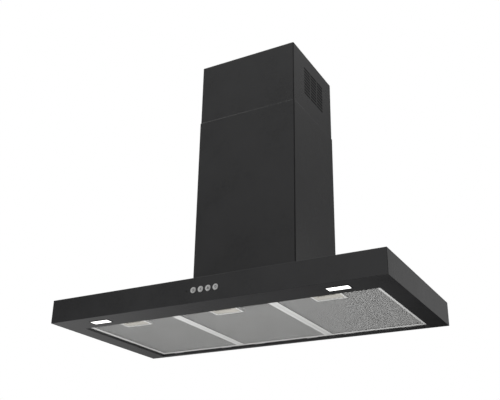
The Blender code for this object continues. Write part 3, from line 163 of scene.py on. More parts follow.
def makeWorld():
    world = bpy.data.worlds.new("studio")
    bpy.context.scene.world = world
    world.use_nodes = True
    tree = world.node_tree
    background = tree.nodes["Background"]
    direction = addNode(tree, "ShaderNodeTexCoord").outputs["Generated"]
    parts = addNode(tree, "ShaderNodeSeparateXYZ", {0: direction}).outputs
    angle = maths(tree, "ARCTAN2", parts["X"], parts["Y"])
    around = spread(tree, angle, -math.pi, math.pi, 0.0, 1.0)
    rings = []
    for stops in (glossAbove, glossBelow):
        ramp = addNode(tree, "ShaderNodeValToRGB", {0: around})
        ramp.color_ramp.interpolation = "EASE"
        ends = ramp.color_ramp.elements
        for end, (degrees, value) in zip((ends[0], ends[1]), (stops[0], stops[-1])):
            end.color = (value, value, value, 1)
        for degrees, value in stops[1:-1]:
            ends.new((degrees + 180) / 360).color = (value, value, value, 1)
        rings.append(ramp.outputs["Color"])

    def blended(factor, first, second):
        mixed = addNode(tree, "ShaderNodeMix", {"Factor": factor}, data_type="RGBA")
        for index, value in ((6, first), (7, second)):
            if isinstance(value, bpy.types.NodeSocket):
                tree.links.new(value, mixed.inputs[index])
            else:
                mixed.inputs[index].default_value = (value, value, value, 1)
        return mixed.outputs[2]

    height = parts["Z"]
    horizon = blended(spread(tree, height, -0.12, 0.12, 0, 1), rings[1], rings[0])
    gloss = blended(spread(tree, height, 0.5, 0.85, 0, 1), horizon, studio["glossOver"])
    gloss = blended(spread(tree, height, -0.55, -0.85, 0, 1), gloss, studio["glossUnder"])
    soft = blended(spread(tree, height, -0.3, 0.5, 0, 1), studio["softLight"] * 0.7, studio["softLight"])
    path = addNode(tree, "ShaderNodeLightPath").outputs
    seen = blended(path["Is Glossy Ray"], soft, gloss)
    seen = blended(path["Is Camera Ray"], seen, 1.0)
    tree.links.new(seen, background.inputs["Color"])


def softPanel(name, place, aim, size, power, mirrored):
    data = bpy.data.lights.new(name, "AREA")
    data.shape = "RECTANGLE"
    data.size, data.size_y = size
    data.energy = power
    panel = bpy.data.objects.new(name, data)
    bpy.context.scene.collection.objects.link(panel)
    panel.location = place
    panel.rotation_euler = (Vector(aim) - panel.location).to_track_quat("-Z", "Y").to_euler()
    panel.visible_camera = False
    panel.visible_glossy = mirrored
    panel.visible_diffuse = not mirrored


say("camera, room and light")
scene = bpy.context.scene
scene.view_settings.view_transform = "Standard"
makeCamera()
makeWorld()
softPanel("key", studio["keyPlace"], (0, 0, 0), studio["keySize"], studio["keyPower"], False)
softPanel("under", studio["underPlace"], studio["underAim"], studio["underSize"], studio["underPower"], False)
softPanel("side", studio["sidePlace"], studio["sideAim"], studio["sideSize"], studio["sidePower"], True)


# Finishes


def startFinish(name, colour, roughness, metallic=0.0):
    made = bpy.data.materials.new(name)
    made.use_nodes = True
    shader = made.node_tree.nodes["Principled BSDF"]
    shader.inputs["Base Color"].default_value = (*colour, 1)
    shader.inputs["Roughness"].default_value = roughness
    shader.inputs["Metallic"].default_value = metallic
    made.diffuse_color = (*colour, 1)
    return made, made.node_tree, shader


# The piece's own coordinates, stretched for a grain that runs one way.
def placeIn(tree, stretch=(1, 1, 1), turn=(0, 0, 0)):
    coordinates = addNode(tree, "ShaderNodeTexCoord").outputs["Object"]
    sockets = {"Vector": coordinates, "Scale": stretch, "Rotation": turn}
    return addNode(tree, "ShaderNodeMapping", sockets).outputs["Vector"]


def cloud(tree, place, scale, detail=3.0, rough=0.5):
    sockets = {"Vector": place, "Scale": scale, "Detail": detail, "Roughness": rough}
    return addNode(tree, "ShaderNodeTexNoise", sockets).outputs["Fac"]


def cells(tree, place, scale, output="Distance", **settings):
    sockets = {"Vector": place, "Scale": scale}
    return addNode(tree, "ShaderNodeTexVoronoi", sockets, **settings).outputs[output]


def tint(tree, factor, first, second):
    mixed = addNode(tree, "ShaderNodeMix", {"Factor": factor}, data_type="RGBA")
    for index, value in ((6, first), (7, second)):
        if isinstance(value, bpy.types.NodeSocket):
            tree.links.new(value, mixed.inputs[index])
        else:
            mixed.inputs[index].default_value = (*value, 1)
    return mixed.outputs[2]


# Stacks height fields as (field, strength, depth in metres), the first one undermost.
def relief(tree, shader, layers):
    normal = None
    for field, strength, depth in layers:
        sockets = {"Height": field, "Strength": strength, "Distance": depth}
        if normal:
            sockets["Normal"] = normal
        normal = addNode(tree, "ShaderNodeBump", sockets).outputs["Normal"]
    tree.links.new(normal, shader.inputs["Normal"])


# Semi-matt black powder coat: fine orange peel, faint clouds, sparse dust and wiped patches.
def enamelFinish():
    look = {"dark": (0.0078, 0.0078, 0.0083), "light": (0.0112, 0.0112, 0.0119), "peel": 620.0, "dust": 240.0}
    made, tree, shader = startFinish("black enamel", look["dark"], 0.3)
    place = placeIn(tree)
    wiped = cloud(tree, place, 7.0, 4.0, 0.6)
    peel = cloud(tree, place, look["peel"], 2.0)
    fine = cloud(tree, place, look["peel"] * 3.4, 1.0)
    speck = spread(tree, cells(tree, place, look["dust"]), 0.05, 0.09, 1.0, 0.0)
    some = spread(tree, cloud(tree, place, 31.0, 2.0), 0.56, 0.7, 0.0, 1.0)
    dust = maths(tree, "MULTIPLY", speck, some)
    colour = tint(tree, spread(tree, wiped, 0.35, 0.65, 0, 1), look["dark"], look["light"])
    colour = tint(tree, maths(tree, "MULTIPLY", dust, 0.45), colour, (0.09, 0.09, 0.088))
    tree.links.new(colour, shader.inputs["Base Color"])
    rough = spread(tree, wiped, 0.3, 0.7, 0.265, 0.325)
    rough = maths(tree, "ADD", rough, spread(tree, fine, 0.3, 0.7, -0.02, 0.02))
    rough = maths(tree, "ADD", rough, maths(tree, "MULTIPLY", dust, 0.2))
    tree.links.new(rough, shader.inputs["Roughness"])
    relief(tree, shader, [(peel, 0.22, 0.00012), (fine, 0.10, 0.00004)])
    return made


# Zinc spangle: flat crystals of slightly different greys, with rolling streaks.
def galvanisedFinish():
    made, tree, shader = startFinish("galvanised sheet", (0.5, 0.52, 0.54), 0.42, 1.0)
    place = placeIn(tree)
    warp = cloud(tree, place, 40.0, 2.0)
    bent = addNode(tree, "ShaderNodeVectorMath", {0: place, 1: (0, 0, 0)}, operation="ADD")
    push = addNode(tree, "ShaderNodeCombineXYZ", {0: maths(tree, "MULTIPLY", warp, 0.012)}).outputs[0]
    tree.links.new(push, bent.inputs[1])
    crystal = cells(tree, bent.outputs[0], 95.0, "Color")
    grey = addNode(tree, "ShaderNodeSeparateColor", {0: crystal}).outputs[0]
    streak = cloud(tree, placeIn(tree, (4, 90, 90)), 3.0, 3.0)
    shade = maths(tree, "ADD", maths(tree, "MULTIPLY", grey, 0.7), maths(tree, "MULTIPLY", streak, 0.3))
    tree.links.new(tint(tree, shade, (0.36, 0.38, 0.40), (0.66, 0.68, 0.69)), shader.inputs["Base Color"])
    tree.links.new(spread(tree, grey, 0, 1, 0.30, 0.52), shader.inputs["Roughness"])
    edges, fine = cells(tree, bent.outputs[0], 95.0), cloud(tree, place, 900.0)
    relief(tree, shader, [(edges, 0.12, 0.0002), (fine, 0.08, 0.00005)])
    return made


# Rolled or brushed metal: streaks along the axis with the smallest stretch, and faint stains.
def brushedFinish(name, low, high, stretch, roughness, grain=0.12, stain=0.0, metallic=1.0):
    made, tree, shader = startFinish(name, high, sum(roughness) / 2, metallic)
    streak = cloud(tree, placeIn(tree, stretch), 14.0, 5.0, 0.7)
    patch = cloud(tree, placeIn(tree), 22.0, 3.0)
    colour = tint(tree, spread(tree, streak, 0.3, 0.7, 0, 1), low, high)
    if stain:
        marked = spread(tree, patch, 0.5, 0.72, 0, stain)
        colour = tint(tree, marked, colour, (low[0] * 0.7, low[1] * 0.66, low[2] * 0.58))
    tree.links.new(colour, shader.inputs["Base Color"])
    rough = spread(tree, streak, 0.3, 0.7, *roughness)
    rough = maths(tree, "ADD", rough, spread(tree, patch, 0.3, 0.7, -0.04, 0.04))
    tree.links.new(rough, shader.inputs["Roughness"])
    relief(tree, shader, [(streak, grain, 0.0001)])
    return made


# Moulded plastic: spark-eroded grain, flow clouds, and a little wear where the grain is high.
def mouldedFinish(name, low, high, roughness, grain=700.0, depth=0.16):
    made, tree, shader = startFinish(name, low, sum(roughness) / 2)
    place = placeIn(tree)
    flow = cloud(tree, place, 18.0, 3.0)
    pebble = cells(tree, place, grain, feature="SMOOTH_F1")
    fine = cloud(tree, place, grain * 1.7, 2.0)
    worn = spread(tree, flow, 0.35, 0.7, 0, 1)
    worn = maths(tree, "MULTIPLY", worn, spread(tree, fine, 0.3, 0.7, 0.4, 1))
    tree.links.new(tint(tree, worn, low, high), shader.inputs["Base Color"])
    tree.links.new(spread(tree, fine, 0.3, 0.7, *roughness), shader.inputs["Roughness"])
    relief(tree, shader, [(pebble, depth, 0.0002), (fine, depth * 0.6, 0.0001)])
    return made


# Green solder mask over etched tracks, with a woven glass ground.
def boardFinish():
    made, tree, shader = startFinish("circuit board", (0.02, 0.12, 0.05), 0.35)
    place = placeIn(tree)
    tracks = cells(tree, place, 260.0, "Distance", distance="MANHATTAN", feature="F1")
    lines = spread(tree, maths(tree, "FRACT", maths(tree, "MULTIPLY", tracks, 3.0)), 0.42, 0.5, 0, 1)
    weave = cloud(tree, placeIn(tree, (1, 1, 1), (0, 0, 0.78)), 1500.0, 1.0)
    colour = tint(tree, lines, (0.012, 0.085, 0.035), (0.03, 0.16, 0.07))
    colour = tint(tree, spread(tree, weave, 0.6, 0.75, 0, 0.3), colour, (0.1, 0.2, 0.1))
    tree.links.new(colour, shader.inputs["Base Color"])
    tree.links.new(spread(tree, weave, 0.3, 0.7, 0.28, 0.42), shader.inputs["Roughness"])
    relief(tree, shader, [(lines, 0.3, 0.0001), (weave, 0.1, 0.00005)])
    return made


# Metal turned on a lathe about the piece's own Y axis, so its marks run in rings.
def spunFinish(name, low, high):
    made, tree, shader = startFinish(name, high, 0.3, 1.0)
    coordinates = addNode(tree, "ShaderNodeTexCoord").outputs["Object"]
    parts = addNode(tree, "ShaderNodeSeparateXYZ", {0: coordinates}).outputs
    across, up = parts["X"], parts["Z"]
    squares = [maths(tree, "MULTIPLY", side, side) for side in (across, up)]
    radius = maths(tree, "SQRT", maths(tree, "ADD", *squares))
    ring = addNode(tree, "ShaderNodeCombineXYZ", {0: maths(tree, "MULTIPLY", radius, 60.0)}).outputs[0]
    rings = cloud(tree, ring, 55.0, 4.0, 0.7)
    patch = cloud(tree, coordinates, 160.0, 2.0)
    tree.links.new(tint(tree, spread(tree, rings, 0.3, 0.7, 0, 1), low, high), shader.inputs["Base Color"])
    rough = spread(tree, rings, 0.3, 0.7, 0.26, 0.40)
    rough = maths(tree, "ADD", rough, spread(tree, patch, 0.3, 0.7, -0.03, 0.03))
    tree.links.new(rough, shader.inputs["Roughness"])
    relief(tree, shader, [(rings, 0.15, 0.00005)])
    return made


# White diffuser with the lamp on behind it: even light with soft, faint clouds.
def lensFinish():
    made, tree, shader = startFinish("lamp lens", (0.9, 0.9, 0.88), 0.35)
    place = placeIn(tree)
    prism = cells(tree, place, 520.0, feature="SMOOTH_F1")
    haze = spread(tree, cloud(tree, place, 45.0, 2.0), 0.3, 0.7, 0, 1)
    glow = tint(tree, haze, (1.0, 0.985, 0.95), (1.0, 1.0, 0.985))
    tree.links.new(glow, shader.inputs["Emission Color"])
    shader.inputs["Emission Strength"].default_value = 1.05
    tree.links.new(spread(tree, prism, 0, 0.6, 0.28, 0.42), shader.inputs["Roughness"])
    relief(tree, shader, [(prism, 0.3, 0.0003)])
    return made


def clearFinish():
    made, tree, shader = startFinish("smoked clear plastic", (0.004, 0.004, 0.004), 0.2)
    shader.inputs["Specular IOR Level"].default_value = 0.12
    haze = cloud(tree, placeIn(tree), 900.0, 2.0)
    colour = tint(tree, haze, (0.003, 0.003, 0.003), (0.007, 0.006, 0.006))
    tree.links.new(colour, shader.inputs["Base Color"])
    tree.links.new(spread(tree, haze, 0.3, 0.7, 0.12, 0.24), shader.inputs["Roughness"])
    relief(tree, shader, [(haze, 0.05, 0.00005)])
    return made


def chipFinish():
    made, tree, shader = startFinish("lamp chip", (0.9, 0.75, 0.2), 0.4)
    dots = cells(tree, placeIn(tree), 1800.0)
    colour = tint(tree, spread(tree, dots, 0.1, 0.5, 0, 1), (0.95, 0.8, 0.25), (0.8, 0.6, 0.12))
    tree.links.new(colour, shader.inputs["Base Color"])
    tree.links.new(spread(tree, dots, 0, 0.6, 0.3, 0.5), shader.inputs["Roughness"])
    relief(tree, shader, [(dots, 0.1, 0.0001)])
    return made


def floorFinish():
    made, tree, shader = startFinish("pale floor", (0.8, 0.8, 0.79), 0.8)
    patch = cloud(tree, placeIn(tree), 2.0, 4.0)
    tree.links.new(tint(tree, patch, (0.78, 0.78, 0.77), (0.83, 0.83, 0.82)), shader.inputs["Base Color"])
    tree.links.new(spread(tree, patch, 0.3, 0.7, 0.75, 0.85), shader.inputs["Roughness"])
    return made


say("finishes")
finishes = {
    "black_enamel": enamelFinish(),
    # A lighter enamel, used as a painted highlight along the lower chimney cover's top edge.
    "lip_highlight": mouldedFinish(
        "rubbed enamel", (0.10, 0.10, 0.10), (0.14, 0.14, 0.138), (0.3, 0.42), 620.0, 0.1
    ),
    "galvanised_sheet": galvanisedFinish(),
    "zinc_plated_steel": brushedFinish(
        "zinc-plated steel", (0.42, 0.43, 0.45), (0.62, 0.63, 0.64), (6, 60, 60), (0.28, 0.44)
    ),
    "filter_frame_aluminium": brushedFinish(
        "filter frame aluminium", (0.60, 0.60, 0.60), (0.74, 0.74, 0.73),
        (110, 5, 60), (0.34, 0.46), 0.06, 0.06, 0.35,
    ),
    "filter_mesh_aluminium": brushedFinish(
        "filter mesh aluminium", (0.62, 0.62, 0.62), (0.8, 0.8, 0.79),
        (40, 40, 40), (0.30, 0.42), 0.1, 0.1, 0.6,
    ),
    "latch_plastic": mouldedFinish(
        "latch plastic", (0.30, 0.29, 0.265), (0.38, 0.365, 0.335), (0.42, 0.58)
    ),
    "spring_steel": brushedFinish(
        "spring steel", (0.4, 0.4, 0.4), (0.6, 0.6, 0.6), (80, 80, 80), (0.2, 0.35)
    ),
    "lamp_lens": lensFinish(),
    "black_plastic": mouldedFinish(
        "black plastic", (0.014, 0.014, 0.0145), (0.026, 0.026, 0.027), (0.42, 0.56)
    ),
    "satin_button": spunFinish("satin button", (0.66, 0.66, 0.66), (0.86, 0.86, 0.85)),
    "circuit_board": boardFinish(),
    "clear_plastic": clearFinish(),
    "scroll_plastic": mouldedFinish(
        "scroll plastic", (0.075, 0.075, 0.08), (0.13, 0.13, 0.135), (0.45, 0.6), 420.0, 0.2
    ),
    "impeller_plastic": mouldedFinish(
        "impeller plastic", (0.035, 0.035, 0.04), (0.07, 0.07, 0.075), (0.4, 0.55), 600.0, 0.12
    ),
    "motor_casing": brushedFinish(
        "motor casing", (0.22, 0.22, 0.23), (0.4, 0.4, 0.41), (6, 90, 90), (0.3, 0.5)
    ),
    "aluminium_can": brushedFinish(
        "aluminium can", (0.6, 0.6, 0.61), (0.8, 0.8, 0.8), (70, 70, 4), (0.24, 0.38)
    ),
}
signInk = mouldedFinish(
    "printed sign", (0.02, 0.02, 0.021), (0.04, 0.04, 0.042), (0.4, 0.5), 1500.0, 0.08
)
lampChip = chipFinish()
# Painted shade: the crimped core sheet is aluminium, but it is made dark to stand in for the shade deep
# inside the filter pad.
coreShadeMesh = brushedFinish(
    "inner mesh", (0.05, 0.05, 0.05), (0.12, 0.12, 0.118), (40, 40, 40), (0.45, 0.6), 0.1
)


# Making pieces


def objectFrom(bm, name, smoothAngle=32):
    bmesh.ops.recalc_face_normals(bm, faces=bm.faces)
    mesh = bpy.data.meshes.new(name)
    bm.to_mesh(mesh)
    bm.free()
    thing = bpy.data.objects.new(name, mesh)
    bpy.context.scene.collection.objects.link(thing)
    mesh.shade_smooth()
    mesh.set_sharp_from_angle(angle=math.radians(smoothAngle))
    return thing


# Rides a piece on its node's body, and gives it the node's finish.
def hang(thing, node, stands=True, paint=None, slot=None):
    slot = slot or slotOf[node]
    thing.data.materials.clear()
    thing.data.materials.append(paint or finishes[slot])
    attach(thing, nodes[node]["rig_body"])
    if stands:
        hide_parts(node)
    return thing


# Rounds every edge sharper than the angle, and keeps the flats flat.
def rounded(thing, radius, steps=2, angle=30):
    bevel = thing.modifiers.new("edges", "BEVEL")
    bevel.width = radius
    bevel.segments = steps
    bevel.limit_method = "ANGLE"
    bevel.angle_limit = math.radians(angle)
    bevel.miter_outer = "MITER_ARC"
    flats = thing.modifiers.new("flats", "WEIGHTED_NORMAL")
    flats.keep_sharp = True
    settled(thing)


def settled(thing):
    made = bpy.data.meshes.new_from_object(thing.evaluated_get(bpy.context.evaluated_depsgraph_get()))
    thing.modifiers.clear()
    old = thing.data
    thing.data = made
    made.name = thing.name
    bpy.data.meshes.remove(old)


def combine(thing, tool, operation):
    step = thing.modifiers.new(operation, "BOOLEAN")
    step.operation = operation
    step.object = tool
    step.solver = "EXACT"
    settled(thing)
    bpy.data.objects.remove(tool, do_unlink=True)


def block(bm, low, high):
    low, high = Vector(low), Vector(high)
    place = Matrix.Translation((low + high) / 2) @ Matrix.Diagonal((*(high - low), 1))
    return bmesh.ops.create_cube(bm, size=1, matrix=place)["verts"]


# Spins (radius, distance along the axis) points. A profile that leaves the axis is closed.
def turn(bm, profile, axis, centre, steps):
    along = "XYZ".index(axis)
    direction = Vector((0, 0, 0))
    direction[along] = 1
    corners = []
    for radius, distance in profile:
        point = Vector(centre)
        point[along] += distance
        point[(along + 1) % 3] += radius
        corners.append(bm.verts.new(point))
    pairs = list(zip(corners, corners[1:]))
    if profile[0][0] > 0:
        pairs.append((corners[-1], corners[0]))
    edges = [bm.edges.new(pair) for pair in pairs]
    spun = bmesh.ops.spin(
        bm, geom=corners + edges, cent=centre, axis=direction, angle=math.tau, steps=steps, use_merge=True
    )
    bmesh.ops.remove_doubles(bm, verts=bm.verts, dist=1e-7)
    return spun


def prismInto(bm, outline, axis, start, end):
    along = "XYZ".index(axis)
    corners = []
    for first, second in outline:
        point = [0, 0, 0]
        point[along] = start
        point[(along + 1) % 3] = first
        point[(along + 2) % 3] = second
        corners.append(bm.verts.new(point))
    pushed = bmesh.ops.extrude_face_region(bm, geom=[bm.faces.new(corners)])
    step = Vector((0, 0, 0))
    step[along] = end - start
    moved = [item for item in pushed["geom"] if isinstance(item, bmesh.types.BMVert)]
    bmesh.ops.translate(bm, verts=moved, vec=step)


# A turned piece whose own origin is its centre.
def turnedPiece(name, node, profile, axis, centre, steps, smoothAngle=32):
    bm = bmesh.new()
    turn(bm, profile, axis, (0, 0, 0), steps)
    thing = objectFrom(bm, name, smoothAngle)
    thing.location = centre
    return hang(thing, node)


# A carried-over piece with its edges broken. Folds are wider bends, given by a test of an edge's ends.
def edged(node, radius=0.3 * mm, steps=2, folds=None, pierced=None):
    bm = bmesh.new()
    bm.from_mesh(nodes[node].data)
    bmesh.ops.remove_doubles(bm, verts=bm.verts, dist=1e-6)
    plain = [edge for edge in bm.edges if not (pierced and all(pierced(v.co) for v in edge.verts))]
    bmesh.ops.dissolve_limit(bm, angle_limit=math.radians(0.5), verts=[], edges=plain)
    bmesh.ops.triangulate(bm, faces=[face for face in bm.faces if len(face.verts) > 4])
    if folds:
        wide, width = folds
        chosen = [edge for edge in bm.edges if wide(*(v.co for v in edge.verts))]
        bmesh.ops.bevel(
            bm, geom=chosen, offset=width, segments=5, profile=0.5, affect="EDGES", clamp_overlap=True
        )
    thing = objectFrom(bm, node + "_edged")
    rounded(thing, radius, steps)
    return hang(thing, node)


say("canopy")
canopy = {"fold": 0.9 * mm, "edge": 0.25 * mm, "panelEdge": 0.3 * mm}
tiny = 0.05 * mm
canopyLow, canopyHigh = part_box("canopy_shell")


# True on an edge where two of the canopy's outer faces meet.
def outerFold(first, second):
    ends = (first, second)
    side = all(abs(abs(point.x) - canopyHigh.x) < tiny for point in ends)
    front = all(abs(point.y - canopyLow.y) < tiny for point in ends)
    top = all(abs(point.z - canopyHigh.z) < tiny for point in ends)
    return side + front + top >= 2


edged("canopy_shell", canopy["edge"], 2, (outerFold, canopy["fold"]))
edged("underside_panel", canopy["panelEdge"])
for sheet in ("rear_panel", "front_divider"):
    edged(sheet, canopy["edge"])


say("grease filters")
weave = {
    "long": 10.6 * mm,  # a diamond's long way, across the filter
    "short": 6.4 * mm,
    "strand": 1.1 * mm,
    "thick": 0.32 * mm,
    "lift": 0.28 * mm,  # how far a strand climbs between its bonds
    "backLong": 11.0 * mm,  # the coarser mesh on top of the pad
    "backShort": 6.0 * mm,
    "wave": 5.6 * mm,  # the crimped sheet between them
    "waveHeight": 1.1 * mm,
    "waveSheet": 0.3 * mm,
    "slack": 0.4 * mm,
    "latchWall": 1.7 * mm,  # from the latch's side to the mesh
    "latchRoom": 8.3 * mm,  # from the latch's back to the mesh
}
frameEdge = {"radius": 0.35 * mm, "latch": 0.4 * mm}


# A closed bar of triangular section through these corners.
def strandInto(bm, run):
    rings = [[bm.verts.new(corner) for corner in corners] for corners in run]
    bm.faces.new(rings[0])
    for ring, nextRing in zip(rings, rings[1:]):
        for a in range(3):
            b = (a + 1) % 3
            bm.faces.new((ring[b], ring[a], nextRing[a], nextRing[b]))
    bm.faces.new(rings[-1][::-1])


# Rows of zigzag strands, each meeting the next at its bonds.
def expandedMesh(bm, low, high, long, short, level, notch):
    columns = int((high.x - low.x) / (long / 2))
    rows = int((high.y - low.y) / (short / 2))
    xs = [low.x + (high.x - low.x) * k / columns for k in range(columns + 1)]
    step = (high.y - low.y) / rows
    half, depth = weave["strand"] / 2, weave["thick"] / 2
    for row in range(rows):
        run = []
        for k, x in enumerate([*xs, None]):
            upper = (k + row) % 2
            y = low.y + (row + upper) * step
            if x is None or (abs(x - notch[0]) < notch[1] and y < notch[2]):
                if len(run) > 1:
                    strandInto(bm, run)
                run = []
                continue
            z = level + (weave["lift"] if upper else -weave["lift"])
            run.append(((x, y - half, z + depth), (x, y + half, z + depth), (x, y, z - depth)))


# A thin sheet folded in waves across the filter, cut short where the latch's pocket is.
def crimpedSheet(bm, low, high, level, notch):
    count = round((high.x - low.x) / weave["wave"] * 8)
    half = weave["waveSheet"] / 2
    previous = None
    for k in range(count + 1):
        x = low.x + (high.x - low.x) * k / count
        z = level + weave["waveHeight"] * math.sin(math.tau * (x - low.x) / weave["wave"])
        start = notch[2] if abs(x - notch[0]) < notch[1] else low.y
        section = ((start, -half), (high.y, -half), (high.y, half), (start, half))
        ring = [bm.verts.new((x, y, z + up)) for y, up in section]
        if previous:
            for a in range(4):
                b = (a + 1) % 4
                bm.faces.new((previous[a], previous[b], ring[b], ring[a]))
        else:
            bm.faces.new(ring)
        previous = ring
    bm.faces.new(previous[::-1])


def filterWeave(number):
    low, high, middle = boxOf(f"filter_mesh_{number}")
    latchLow, latchHigh, latchMiddle = boxOf(f"filter_latch_{number}")
    slack = Vector((weave["slack"], weave["slack"], 0))
    halfNotch = (latchHigh.x - latchLow.x) / 2 + weave["latchWall"]
    notch = (latchMiddle.x, halfNotch, latchHigh.y + weave["latchRoom"])
    reach = weave["lift"] + weave["thick"]
    bm = bmesh.new()
    expandedMesh(bm, low + slack, high - slack, weave["long"], weave["short"], low.z + reach, notch)
    expandedMesh(bm, low + slack, high - slack, weave["backLong"], weave["backShort"], high.z - reach, notch)
    hang(objectFrom(bm, f"filter_weave_{number}"), f"filter_mesh_{number}")
    bm = bmesh.new()
    crimpedSheet(bm, low + slack, high - slack, middle.z, notch)
    core = objectFrom(bm, f"filter_core_{number}")
    # The core takes the dark painted-shade finish, not the mesh's own aluminium.
    hang(core, f"filter_mesh_{number}", False, coreShadeMesh)


spring = {
    "wire": 0.25 * mm,  # its radius
    "turns": 6,
    "stepsPerTurn": 20,
    "closing": 0.06,  # how far its turns close up at the ends
}


# The latch's spring as round wire, with closed ends.
def springWire(number):
    node = f"latch_spring_{number}"
    low, high, middle = boxOf(node)
    wire, perTurn = spring["wire"], spring["stepsPerTurn"]
    radius = (high.x - low.x) / 2 - wire
    count = spring["turns"] * perTurn
    curve = bpy.data.curves.new(node + "_wire", "CURVE")
    curve.dimensions = "3D"
    curve.bevel_depth = wire
    curve.bevel_resolution = 3
    curve.use_fill_caps = True
    line = curve.splines.new("POLY")
    line.points.add(count)
    for index, point in enumerate(line.points):
        angle = math.tau * index / perTurn
        share = index / count
        eased = share - spring["closing"] * math.sin(math.tau * share)
        y = low.y + wire + (high.y - low.y - 2 * wire) * eased
        point.co = (middle.x + radius * math.cos(angle), y, middle.z + radius * math.sin(angle), 1)
    thing = bpy.data.objects.new(node + "_wire", curve)
    bpy.context.scene.collection.objects.link(thing)
    hang(thing, node)


for number in (1, 2, 3):
    edged(f"filter_frame_{number}", frameEdge["radius"])
    edged(f"filter_latch_{number}", frameEdge["latch"])
    filterWeave(number)
    springWire(number)


say("lamps")
lampPiece = {
    "bezelEdge": 0.25 * mm,
    "lensEdge": 0.5 * mm,
    "housingEdge": 0.5 * mm,
    "boardEdge": 0.1 * mm,
    "chips": 6,
    "chip": 2.8 * mm,
    "chipHeight": 0.8 * mm,
    "chipEdge": 0.2 * mm,
}


def lamp(side):
    edged(f"lamp_bezel_{side}", lampPiece["bezelEdge"])
    edged(f"lamp_lens_{side}", lampPiece["lensEdge"], 3)
    edged(f"lamp_housing_{side}", lampPiece["housingEdge"])
    board = f"lamp_board_{side}"
    edged(board, lampPiece["boardEdge"])
    low, high, middle = boxOf(board)
    bm = bmesh.new()
    pitch = (high.x - low.x) / lampPiece["chips"]
    half = lampPiece["chip"] / 2
    chipLow = low.z - lampPiece["chipHeight"]
    for index in range(lampPiece["chips"]):
        x = low.x + (index + 0.5) * pitch
        block(bm, (x - half, middle.y - half, chipLow), (x + half, middle.y + half, low.z))
    chips = objectFrom(bm, f"lamp_chips_{side}")
    rounded(chips, lampPiece["chipEdge"])
    hang(chips, board, False, lampChip, "lamp_lens")


for side in ("left", "right"):
    lamp(side)


say("buttons")
pressButton = {
    "flange": 1.1 * mm,
    "flangeFront": 1.3 * mm,  # behind the canopy's face
    "flangeBack": 2.8 * mm,
    "stem": 3.0 * mm,
    "rim": 0.9 * mm,
    "dish": 0.28 * mm,
    "steps": 72,
    "signSink": 0.06 * mm,  # below the rim
    "signDepth": 0.5 * mm,
    "line": 1.05 * mm,
}


def arcPoints(radius, start, end, count, centre=(0, 0)):
    angles = [math.radians(start + (end - start) * k / count) for k in range(count + 1)]
    return [(centre[0] + radius * math.cos(a), centre[1] + radius * math.sin(a)) for a in angles]


# The outline of a line of that width with square ends.
def stroke(path, width):
    points = [Vector(point) for point in path]
    sides = [(b - a).normalized() for a, b in zip(points, points[1:])]
    left, right = [], []
    for index, point in enumerate(points):
        before, after = sides[max(index - 1, 0)], sides[min(index, len(sides) - 1)]
        across = Vector((-(before + after).y, (before + after).x)).normalized()
        reach = width / 2 / max(across.dot(Vector((-after.y, after.x))), 0.4)
        left.append(tuple(point + across * reach))
        right.append(tuple(point - across * reach))
    return left + right[::-1]


# Plain signs, in millimetres across and up: on and off, slower, fan, and lamp.
def signOutlines(number):
    line = pressButton["line"] / mm
    if number == 1:
        return [stroke(arcPoints(2.7, 125, 415, 28), line), stroke([(0, 0.7), (0, 3.4)], line)]
    if number == 2:
        return [stroke([(1.3, 2.5), (-1.4, 0), (1.3, -2.5)], line * 1.25)]
    if number == 3:
        petals = []
        for blade in range(3):
            lean = 90 + 120 * blade
            middle = (1.75 * math.cos(math.radians(lean)), 1.75 * math.sin(math.radians(lean)))
            petals.append(arcPoints(1.3, 0, 345, 23, middle))
        return petals
    bulb = arcPoints(1.9, -62, 242, 24, (0, 0.9))
    collars = [[(-0.95, -1.7), (0.95, -1.7)], [(-0.6, -2.9), (0.6, -2.9)]]
    return [stroke(bulb, line)] + [stroke(bar, line * 0.8) for bar in collars]


# The cap is turned and dished, and carries its sign.
def pressPiece(number):
    node = f"button_{number}"
    low, high, middle = boxOf(node)
    outer = (high.x - low.x) / 2
    cap = outer - pressButton["flange"]
    face = low.y - canopyLow.y
    rim, dish = pressButton["rim"], pressButton["dish"]
    hollow = cap - rim
    dished = [(hollow * k / 8, face + dish * (1 - (k / 8) ** 2)) for k in range(9)]
    edge = [(cap - 0.35 * mm, face), (cap - 0.12 * mm, face + 0.1 * mm), (cap, face + 0.38 * mm)]
    profile = dished + edge + [
        (cap, pressButton["flangeFront"]),
        (outer, pressButton["flangeFront"]),
        (outer, pressButton["flangeBack"]),
        (pressButton["stem"], pressButton["flangeBack"]),
        (pressButton["stem"], high.y - canopyLow.y),
        (0, high.y - canopyLow.y),
    ]
    centre = (middle.x, canopyLow.y, middle.z)
    turnedPiece(f"button_cap_{number}", node, profile, "Y", centre, pressButton["steps"], smoothAngle=24)
    bm = bmesh.new()
    front = face + pressButton["signSink"]
    for outline in signOutlines(number):
        flat = [(up * mm, across * mm) for across, up in outline]
        prismInto(bm, flat, "Y", front, front + pressButton["signDepth"])
    sign = objectFrom(bm, f"button_sign_{number}")
    sign.location = centre
    hang(sign, node, False, signInk, "black_plastic")


for number in (1, 2, 3, 4):
    pressPiece(number)
low, high, middle = boxOf("indicator_light_pipe")
pipe = {"radius": 1.25 * mm, "collar": 2.15 * mm, "dome": 0.14 * mm}
face, tail = low.y - canopyLow.y, high.y - canopyLow.y
turnedPiece(
    "indicator_pipe", "indicator_light_pipe",
    [
        (0, face), (pipe["radius"] * 0.6, face + pipe["dome"] * 0.3), (pipe["radius"], face + pipe["dome"]),
        (pipe["radius"], pressButton["flangeFront"]), (pipe["collar"], pressButton["flangeFront"]),
        (pipe["collar"], pressButton["flangeBack"]), (pipe["radius"], pressButton["flangeBack"]),
        (pipe["radius"], tail), (0, tail),
    ],
    "Y", (middle.x, canopyLow.y, middle.z), 40,
)
switchEdge = {"housing": 0.4 * mm, "board": 0.15 * mm}
edged("switch_housing", switchEdge["housing"])
edged("switch_board", switchEdge["board"])


